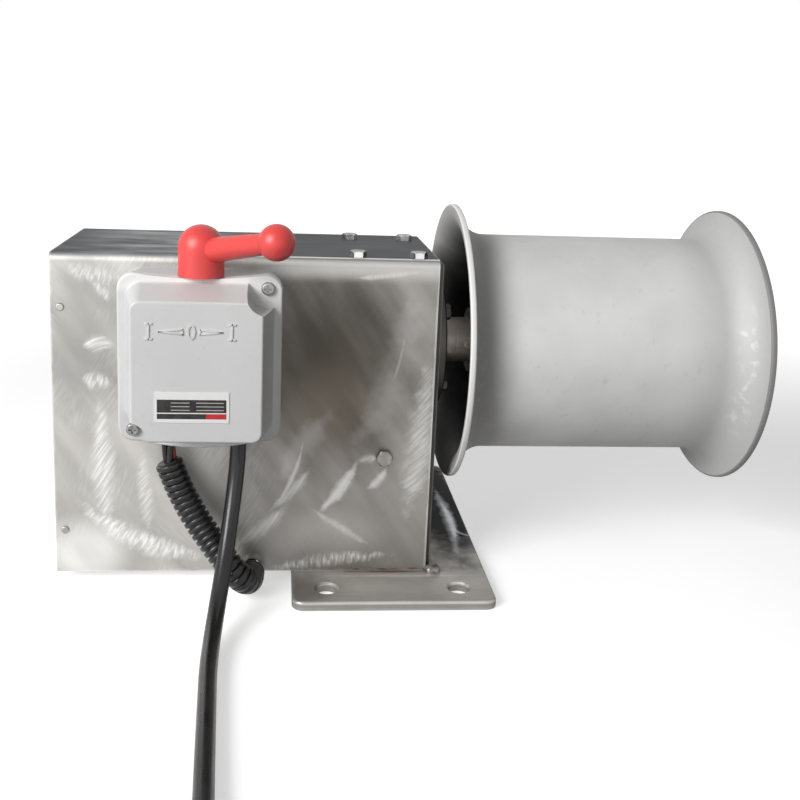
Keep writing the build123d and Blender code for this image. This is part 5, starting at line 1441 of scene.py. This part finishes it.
@dataclass
class BasePlate:
    """The bolt-down plate, with a painted dark reflection and painted bright streaks beside the casing, and
    rust and a painted highlight along the casing's foot.
    """

    # The first patch is a painted dark reflection and shade beside the casing and under the drum, the second
    # rust at the casing's foot, the third a painted highlight along it; the last two make the front lighter
    # in the middle and darker at the left.
    patches: tuple[Patch, ...] = tuple(Patch(*row) for row in (
        ((50.0, 40.0), (34.0, 128.0), (0.012, 0.012, 0.014), 0.97, 0.5),
        ((0.0, -80.5), (44.0, 3.0), (0.16, 0.075, 0.045), 0.85),
        ((12.0, -87.0), (52.0, 2.6), (0.80, 0.78, 0.75), 0.55),
        ((-2.0, -104.0), (34.0, 12.0), (0.62, 0.60, 0.57), 0.5),
        ((-58.0, -108.0), (30.0, 34.0), (0.16, 0.152, 0.142), 0.75),
    ))
    # Painted reflections: bright streaks in the dark plate beside the casing.
    strokes: tuple[GrindStroke, ...] = tuple(GrindStroke(*row) for row in (
        ((53.0, 70.0), (55.5, 6.0), (51.0, -60.0), 12.0, 0.45, None, 0.05),
        ((54.0, 40.0), (56.5, 4.0), (54.5, -30.0), 7.0, 0.85, None, 0.05),
        ((57.0, -8.0), (61.0, -20.0), (65.5, -23.0), 4.0, 0.5, None, 0.1),
    ))

    def build(self, shop: Workshop) -> None:
        """Dresses the plate.

        Args:
            shop: Where finishes are made.
        """
        plate = GroundPlate("ground_base_plate", 0.6, *corners("base_plate"), self.patches, self.strokes,
                            edge_shine=0.2, gleam=0.15)
        shop.dress(plate, "base_plate")


@dataclass
class Drum:
    """The rope drum: one turned shell with flared ends, on webs and a hub."""

    barrel: float = 76.0
    wall: float = 4.0
    flare: float = 21.0
    rim_round: float = 1.2
    flare_steps: int = 14
    round_steps: int = 4
    turns: int = 144
    facing: float = 0.1

    def build(self, shop: Workshop) -> None:
        """Turns the shell and dresses what carries it.

        Args:
            shop: Where pieces and finishes are made.
        """
        low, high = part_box("drum_shell")
        middle = (low + high) / 2
        axis = (middle.y, middle.z)
        radius = (high.z - low.z) / 2 / MM
        skin = BlastedDrum("blasted_drum", 0.15, axis=axis, ends=(low.x, high.x), rim=radius)
        bell = BellInside("bell_inside", 0.2, axis, radius, edge_shine=0.4, gleam=0.2)
        shape = self.shell(low, high, Vector((0.0, *axis)))
        shop.piece("rope_drum", shape, (skin, bell), Body.DRUM, Slot.BLASTED_STEEL, ["drum_shell"])
        shop.dress(DARK_SCALE_AND_SHADE, "drum_webs", "drum_hub", "drum_key")
        shop.dress(SHAFT_STEEL_PAINTED_LIGHT, "main_shaft", "shaft_pin")
        shop.dress(BRIGHT_FASTENER, "drum_end_washer", "drum_end_bolt")

    def shell(self, low: Vector, high: Vector, axis: Vector) -> bmesh.types.BMesh:
        """Turns the flared shell.

        Args:
            low: The lowest corner of its box.
            high: The highest corner.
            axis: A point on its axis, at X = 0.

        Returns:
            The shell's mesh, with its inner faces on the second material.
        """
        shape = bmesh.new()
        bend = self.barrel + self.flare
        inner = self.flare + self.wall
        left = low.x / MM + self.wall + self.flare
        right = high.x / MM - self.wall - self.flare

        def spot(x: float, radius: float) -> Vector:
            """A point of the outline, from its place along the axis and its radius."""
            return axis + mm(x, 0.0, radius)

        line = Outline(shape, spot(left, self.barrel))
        line.line(spot(right, self.barrel))
        line.arc(spot(right, bend), -90.0, self.flare_steps)
        self.rim(line, spot, right + self.flare, right + inner, bend)
        line.arc(spot(right, bend), 90.0, self.flare_steps)
        line.line(spot(left, self.barrel - self.wall))
        line.arc(spot(left, bend), 90.0, self.flare_steps)
        self.rim(line, spot, left - inner, left - self.flare, bend)
        line.arc(spot(left, bend), -90.0, self.flare_steps)
        line.turn(axis, self.turns)
        for face in shape.faces:
            face.material_index = int(self.inside(face, axis, (left + right) / 2 * MM))
        return shape

    def rim(self, line: Outline, spot: Callable[[float, float], Vector], start: float, end: float,
            top: float) -> None:
        """Rounds a rim's two corners, from one side of the wall to the other.

        Args:
            line: The outline, which stands at the rim's first corner.
            spot: Places a point of the outline.
            start: Where the rim begins along the axis.
            end: Where it ends.
            top: The rim's radius.
        """
        low = top - self.rim_round
        line.tip.co = spot(start, low)
        line.arc(spot(start + self.rim_round, low), 90.0, self.round_steps)
        line.line(spot(end - self.rim_round, top))
        line.arc(spot(end - self.rim_round, low), 90.0, self.round_steps)
        line.tip.co = spot(end, low)

    def inside(self, face: bmesh.types.BMFace, axis: Vector, middle: float) -> bool:
        """Whether a face is on the drum's unblasted inside, whose dark finish is partly painted shade.

        Args:
            face: The face.
            axis: A point on the drum's axis.
            middle: The drum's middle along X, in metres.

        Returns:
            True if it faces the axis or one of the mouths, below the rim.
        """
        spot = face.calc_center_median()
        away = Vector((0.0, spot.y - axis.y, spot.z - axis.z))
        outward = face.normal.x * (spot.x - middle)
        deep = away.length < (self.barrel + self.flare - self.rim_round) * MM
        return deep and (face.normal.dot(away) < -self.facing * away.length or outward > self.facing * MM)


@dataclass
class Switch:
    """The reversing switch: base, cover, printed plate, raised legend and ball handle."""

    legend_height: float = 187.5
    legend_spots: Triple = (-153.5, -129.0, -105.5)
    letter: Flat = (5.0, 9.0)
    stroke: float = 1.15
    stroke_bevel: float = 0.22
    relief: float = 0.6
    sink: float = 0.3
    arrow_rise: float = 1.4
    arrow_gaps: Flat = (2.6, 4.2)
    nought_sides: int = 32

    def build(self, shop: Workshop) -> None:
        """Dresses the switch and raises its legend.

        Args:
            shop: Where pieces and finishes are made.
        """
        shop.dress(SWITCH_PAINT, "switch_base")
        low, high = corners("switch_cover")
        shop.dress(MouldedCover("moulded_cover", low=low, high=high), "switch_cover")
        shop.dress(RED_GLOSS, "switch_handle")
        shop.dress(SCREW_STEEL, "cover_screws", "switch_screws")
        plate = PrintedPlate("printed_plate", 0.0, *corners("rating_plate"), gleam=0.25)
        shop.dress(plate, "rating_plate")
        shop.dress(BLACK_MOULDING, "contact_drum")
        shop.dress(COPPER, "moving_contacts", "fixed_contacts")
        shop.piece("switch_legend", self.legend(low[1]), [SWITCH_PAINT], Body.WINCH, Slot.SWITCH_GREY)

    def bar(self, shape: bmesh.types.BMesh, start: Flat, end: Flat, face: float) -> None:
        """Adds one raised stroke of the legend.

        Args:
            shape: The legend's mesh.
            start: The stroke's start in millimetres of X and Z.
            end: Its end.
            face: The cover's front, in metres of Y.
        """
        run = Vector((end[0] - start[0], 0.0, end[1] - start[1]))
        tilt = math.atan2(run.z, run.x)
        size = Matrix.Diagonal((run.length + self.stroke, self.relief + self.sink, self.stroke, 1.0))
        middle = mm((start[0] + end[0]) / 2, 0.0, (start[1] + end[1]) / 2)
        middle.y = face + (self.sink - self.relief) / 2 * MM
        place = Matrix.Translation(middle) @ Matrix.Rotation(-tilt, 4, "Y") @ Matrix.Scale(MM, 4) @ size
        made = bmesh.ops.create_cube(shape, size=1.0, matrix=place)["verts"]
        edges = list({edge for vertex in made for edge in vertex.link_edges})
        bmesh.ops.bevel(shape, geom=edges, offset=self.stroke_bevel * MM, segments=2, profile=0.5,
                        affect="EDGES", material=-1)

    def nought(self, shape: bmesh.types.BMesh, x: float, face: float) -> None:
        """Adds the raised oval in the middle of the legend.

        Args:
            shape: The legend's mesh.
            x: The oval's place, in millimetres of X.
            face: The cover's front, in metres of Y.
        """
        width, height = self.letter
        place = Matrix.Translation(mm(x, 0.0, self.legend_height) + Vector((0.0, face + self.sink * MM, 0.0)))
        oval = Matrix.Diagonal((width / height, 1.0, 1.0, 1.0))
        place = place @ Matrix.Rotation(math.pi / 2, 4, "X") @ oval
        made = bmesh.ops.create_circle(shape, segments=self.nought_sides, radius=height / 2 * MM,
                                       cap_ends=True, matrix=place)
        top = made["verts"][0].link_faces[0]
        ring = bmesh.ops.inset_region(shape, faces=[top], thickness=self.stroke * MM, use_even_offset=True,
                                      use_boundary=True)["faces"]
        bmesh.ops.delete(shape, geom=[top], context="FACES_ONLY")
        raised = bmesh.ops.extrude_face_region(shape, geom=ring)["geom"]
        lift = Vector((0.0, -(self.relief + self.sink) * MM, 0.0))
        moved = [item for item in raised if isinstance(item, bmesh.types.BMVert)]
        bmesh.ops.translate(shape, vec=lift, verts=moved)

    def legend(self, face: float) -> bmesh.types.BMesh:
        """Raises the positions I, 0 and I on the cover's face, with an arrow each way.

        Args:
            face: The cover's front, in metres of Y.

        Returns:
            The legend's mesh.
        """
        shape = bmesh.new()
        width, height = self.letter
        level = self.legend_height
        left, middle, right = self.legend_spots
        for x in (left, right):
            self.bar(shape, (x, level - height / 2), (x, level + height / 2), face)
            for end in (level - height / 2, level + height / 2):
                self.bar(shape, (x - width / 3, end), (x + width / 3, end), face)
        self.nought(shape, middle, face)
        near, far = self.arrow_gaps
        for side, tip in ((-1, left), (1, right)):
            base = middle + side * (width / 2 + near)
            point = tip - side * (width / 3 + far)
            for rise in (-self.arrow_rise, self.arrow_rise):
                self.bar(shape, (base, level + rise), (point, level), face)
            self.bar(shape, (base, level - self.arrow_rise), (base, level + self.arrow_rise), face)
        bmesh.ops.recalc_face_normals(shape, faces=shape.faces)
        return shape


@dataclass
class Conduit:
    """The ribbed conduit from the switch to the floor at the casing, with the wires that run on into it."""

    route: tuple[Point, ...] = (
        (-147.8, -95.0, 90.5), (-143.2, -95.5, 78.5), (-137.6, -97.0, 66.5), (-129.5, -100.0, 53.0),
        (-120.5, -104.0, 41.0), (-112.0, -108.9, 31.0), (-103.9, -111.5, 21.0), (-97.7, -107.5, 13.2),
        (-94.0, -98.3, 9.4), (-94.0, -87.5, 9.4),
    )
    wire_start: Point = (-147.0, -95.0, 118.2)
    wire_end: Point = (-94.0, -52.0, 9.4)
    crest: float = 18.0
    valley: float = 14.6
    pitch: float = 4.5
    rib: tuple[Flat, ...] = ((0.0, 0.0), (0.16, 0.0), (0.26, 0.78), (0.35, 1.0), (0.83, 1.0), (0.92, 0.78))
    sides: int = 40
    wires: int = 3
    wire: float = 4.3
    wire_ring: float = 2.6
    wire_twist: float = 2.0
    wire_steps: int = 70
    wire_sides: int = 12

    def build(self, shop: Workshop) -> None:
        """Builds the ribs and the wires.

        Args:
            shop: Where pieces are made.
        """
        line = Line([mm(*point) for point in self.route])
        count = round(line.length / (self.pitch * MM))
        step = line.length / count
        stations = [(index + share) * step for index in range(count) for share, _ in self.rib]
        heights = [rise for _ in range(count) for _, rise in self.rib]
        matrices = line.frames([*stations, line.length])
        radii = [(self.valley + (self.crest - self.valley) * rise) / 2 * MM for rise in [*heights, 0.0]]
        shape = bmesh.new()
        tube(shape, list(zip(matrices, radii)), self.sides)
        piece = shop.piece("ribbed_conduit", shape, [CONDUIT_PLASTIC], Body.WINCH, Slot.BLACK_PLASTIC,
                           ["conduit"], SOFT_EDGES)
        mm(*self.route[0])
        shop.piece("switch_wires", self.bundle(), [RED_WIRE, BLACK_RUBBER], Body.WINCH, Slot.RED_WIRE,
                   ["wire_bundle"], SOFT_EDGES)

    def bundle(self) -> bmesh.types.BMesh:
        """Lays the twisted wires along the conduit's bore.

        Returns:
            Their mesh, with the first wire on the first material and the others on the second.
        """
        line = Line([mm(*point) for point in (self.wire_start, *self.route[:-1], self.wire_end)])
        stops = [line.length * index / self.wire_steps for index in range(self.wire_steps + 1)]
        matrices = line.frames(stops)
        shape = bmesh.new()
        for wire in range(self.wires):
            rings = []
            for stop, matrix in zip(stops, matrices):
                turn = math.radians(self.wire_twist) * stop / MM + wire * math.tau / self.wires + math.pi
                aside = mm(self.wire_ring * math.cos(turn), self.wire_ring * math.sin(turn), 0.0)
                rings.append((matrix @ Matrix.Translation(aside), self.wire / 2 * MM))
            before = len(shape.faces)
            tube(shape, rings, self.wire_sides)
            shape.faces.ensure_lookup_table()
            for face in shape.faces[before:]:
                face.material_index = min(wire, 1)
        return shape


@dataclass
class PowerLead:
    """The mains lead: out of the switch, over the floor, into its tied coil and plug."""

    diameter: float = 10.4
    route: tuple[Point, ...] = (
        (-103.0, -98.0, 118.2), (-103.0, -98.0, 97.0), (-104.8, -103.0, 76.0), (-107.2, -112.0, 56.0),
        (-109.6, -125.0, 36.5), (-112.6, -143.0, 18.5), (-114.6, -167.0, 7.5), (-114.9, -197.0, 5.4),
        (-113.2, -229.0, 5.4), (-111.4, -266.0, 5.4), (-109.2, -306.0, 5.7), (-107.0, -352.0, 7.0),
        (-107.0, -398.0, 7.0),
    )
    first_radius: float = 68.0
    radius_step: float = 5.6
    inward: int = 4
    half_turn_points: int = 10
    layer: float = 11.0
    lead: float = 46.0
    steps: int = 8
    round_steps: int = 6

    def coil(self) -> list[Vector]:
        """The coil's control points: in by half turns, up a layer, out again, and straight to the plug.

        Returns:
            The points, in metres.
        """
        x, y, z = self.route[-1]
        found = []
        step = math.pi / self.half_turn_points
        swell = 1 / math.cos(step / 2)
        for half in range(2 * self.inward + 1):
            radius = self.first_radius - self.radius_step * (self.inward - abs(self.inward - half))
            way = 1 if half % 2 == 0 else -1
            last = half == 2 * self.inward
            count = self.half_turn_points // 2 if last else self.half_turn_points
            for index in range(count):
                angle = (index + 0.5) * step
                share = (index + 0.5) / count
                rise = self.layer * (0 if half < self.inward else share if half == self.inward else 1)
                along = x + way * radius * (1 - swell * math.cos(angle))
                found.append(mm(along, y - way * radius * swell * math.sin(angle), z + rise))
            x += way * radius * (1 if last else 2)
            y -= way * radius if last else 0.0
        top = z + self.layer
        return [*found, mm(x + self.lead / 2, y, top), mm(x + self.lead, y, top)]

    def build(self, shop: Workshop) -> None:
        """Lays the lead and dresses what is on it.

        Args:
            shop: Where pieces and finishes are made.
        """
        points = [mm(*point) for point in self.route] + self.coil()
        data = nurbs("mains_lead", points, self.steps)
        data.bevel_depth = self.diameter / 2 * MM
        data.bevel_resolution = self.round_steps
        data.use_fill_caps = True
        data.materials.append(shop.material(BLACK_RUBBER))
        lead = stand("mains_lead", data)
        shop.settle(lead, Body.WINCH, Slot.BLACK_RUBBER, ["power_cable", "cable_coil"])
        shop.dress(BLACK_RUBBER, "cable_bush")
        shop.dress(BLACK_MOULDING, "coil_tie", "plug_body")
        shop.dress(COPPER, "plug_pins")
        mm(*self.route[0])
        Line(points, self.steps).length


@dataclass
class Inside:
    """The gears, bearings and motor that the casing hides."""

    steel: tuple[str, ...] = (
        "gear_case_screws", "main_bearing_outer", "main_bearing_inner", "output_gear", "output_key",
        "layshaft", "layshaft_wheel", "rotor_shaft", "motor_pinion", "motor_bearing_outers",
        "motor_bearing_inners", "motor_tie_bolts", "capacitor_clamp",
    )
    cast: tuple[str, ...] = (
        "gear_case", "partition_plate", "motor_flange", "motor_housing", "motor_end_bell",
    )

    def build(self, shop: Workshop) -> None:
        """Dresses every hidden piece.

        Args:
            shop: Where finishes are made.
        """
        shop.dress(MACHINED_STEEL, *self.steel)
        shop.dress(CAST_ALUMINIUM, *self.cast)
        shop.dress(BRONZE, "gear_case_bushes")
        shop.dress(LAMINATIONS, "rotor_core", "stator_core")
        shop.dress(COPPER, "stator_windings")
        shop.dress(BLACK_MOULDING, "capacitor")


@dataclass
class Studio:
    """The pale floor, the soft lamps, the white surroundings and the camera."""

    floor_size: float = 8.0
    floor_drop: float = 0.4
    floor_colour: Colour = (0.80, 0.80, 0.80)
    bounce_colour: Colour = (0.16, 0.16, 0.16)
    glow: float = 0.52
    glow_reach: Flat = (0.45, 1.3)
    ambient: float = 0.17
    lens: float = 45.0
    sensor: float = 36.0
    clip: float = 0.01
    shift: Flat = (0.05, -0.125)
    eye: Point = (-79.596, -711.930, 323.172)
    yaw: float = 0.08368
    pitch: float = 0.19892
    roll: float = 0.03527
    lamps: tuple[tuple[str, Point, float, float], ...] = (
        ("key_lamp", (-1.30, -1.20, 0.95), 0.9, 38.0),
        ("fill_lamp", (0.15, -1.9, 0.45), 1.4, 4.5),
    )
    aim: Point = (0.02, 0.0, 0.12)

    def build(self) -> None:
        """Sets up the stage."""
        bpy.context.scene.view_settings.view_transform = "Standard"
        self.floor()
        self.world()
        for name, place, size, power in self.lamps:
            self.lamp(name, Vector(place), size, power)
        self.camera()

    @staticmethod
    def seen(sheet: NodeSheet) -> Socket:
        """Tells the rays that show the surroundings: straight, reflected or through glass.

        Args:
            sheet: The nodes that ask.

        Returns:
            1 for such a ray, or else 0.
        """
        rays = sheet.node("ShaderNodeLightPath").outputs
        return reduce(lambda seen, kind: sheet.math("MAXIMUM", seen, rays[f"Is {kind} Ray"]),
                      ("Glossy", "Transmission"), rays["Is Camera Ray"])

    def floor(self) -> None:
        """Lays a pale floor that keeps the winch's shadow."""
        shape = bmesh.new()
        place = Matrix.Translation(mm(0.0, 0.0, -self.floor_drop))
        bmesh.ops.create_grid(shape, x_segments=1, y_segments=1, size=self.floor_size / 2, matrix=place)
        data = bpy.data.meshes.new("floor")
        shape.to_mesh(data)
        shape.free()
        material = bpy.data.materials.new("pale_floor")
        sheet = SkinSheet(material)
        seen = self.seen(sheet)
        sheet.coat(sheet.tones(seen, self.bounce_colour, self.floor_colour), 1.0)
        sheet.shader["Specular IOR Level"].default_value = 0.0
        sheet.shader["Emission Color"].default_value = shade(WHITE)
        glow = sheet.smooth(sheet.length(sheet.point), *self.glow_reach, self.glow, 1.0)
        sheet.feed(sheet.shader["Emission Strength"], sheet.times(seen, glow))
        data.materials.append(material)
        stand("floor", data)

    def world(self) -> None:
        """Surrounds the winch with white that lights it softly."""
        world = bpy.data.worlds.new("white_room")
        world.use_nodes = True
        bpy.context.scene.world = world
        sheet = NodeSheet(world.node_tree)
        backdrop = world.node_tree.nodes["Background"].inputs
        backdrop["Color"].default_value = shade(WHITE)
        sheet.feed(backdrop["Strength"], sheet.mad(self.seen(sheet), 1.0 - self.ambient, self.ambient))

    def lamp(self, name: str, place: Vector, size: float, power: float) -> None:
        """Hangs a square soft lamp that faces the winch.

        Args:
            name: The lamp's name.
            place: Where it hangs, in metres.
            size: Its side, in metres.
            power: Its power, in watts.
        """
        data = bpy.data.lights.new(name, "AREA")
        data.energy = power
        data.size = size
        turn = (Vector(self.aim) - place).to_track_quat("-Z", "Y")
        stand(name, data).matrix_world = Matrix.Translation(place) @ turn.to_matrix().to_4x4()

    def camera(self) -> None:
        """Stands the camera where the photograph was taken."""
        ahead = Vector((math.sin(self.yaw), math.cos(self.yaw), 0.0))
        right = Vector((math.cos(self.yaw), -math.sin(self.yaw), 0.0))
        up = Vector((0.0, 0.0, 1.0))
        sight = ahead * math.cos(self.pitch) - up * math.sin(self.pitch)
        rise = up * math.cos(self.pitch) + ahead * math.sin(self.pitch)
        across = right * math.cos(self.roll) + rise * math.sin(self.roll)
        rise = rise * math.cos(self.roll) - right * math.sin(self.roll)
        data = bpy.data.cameras.new("camera")
        data.lens = self.lens
        data.sensor_width = self.sensor
        data.sensor_fit = "AUTO"
        data.shift_x, data.shift_y = self.shift
        data.clip_start = self.clip
        made = stand("camera", data)
        turn = Matrix((across, rise, -sight)).transposed().to_4x4()
        made.matrix_world = Matrix.Translation(mm(*self.eye)) @ turn
        bpy.context.scene.camera = made


def main() -> None:
    """Builds the stage and the winch's sub-assemblies in order."""
    logging.basicConfig(level=logging.INFO, format="%(name)s: %(message)s")
    Studio().build()
    shop = Workshop()
    for part in (PowerLead(), Conduit(), Casing(), Welds(), BasePlate(), Drum(), Switch(), Inside()):
        part.build(shop)


if __name__ == "__main__":
    main()
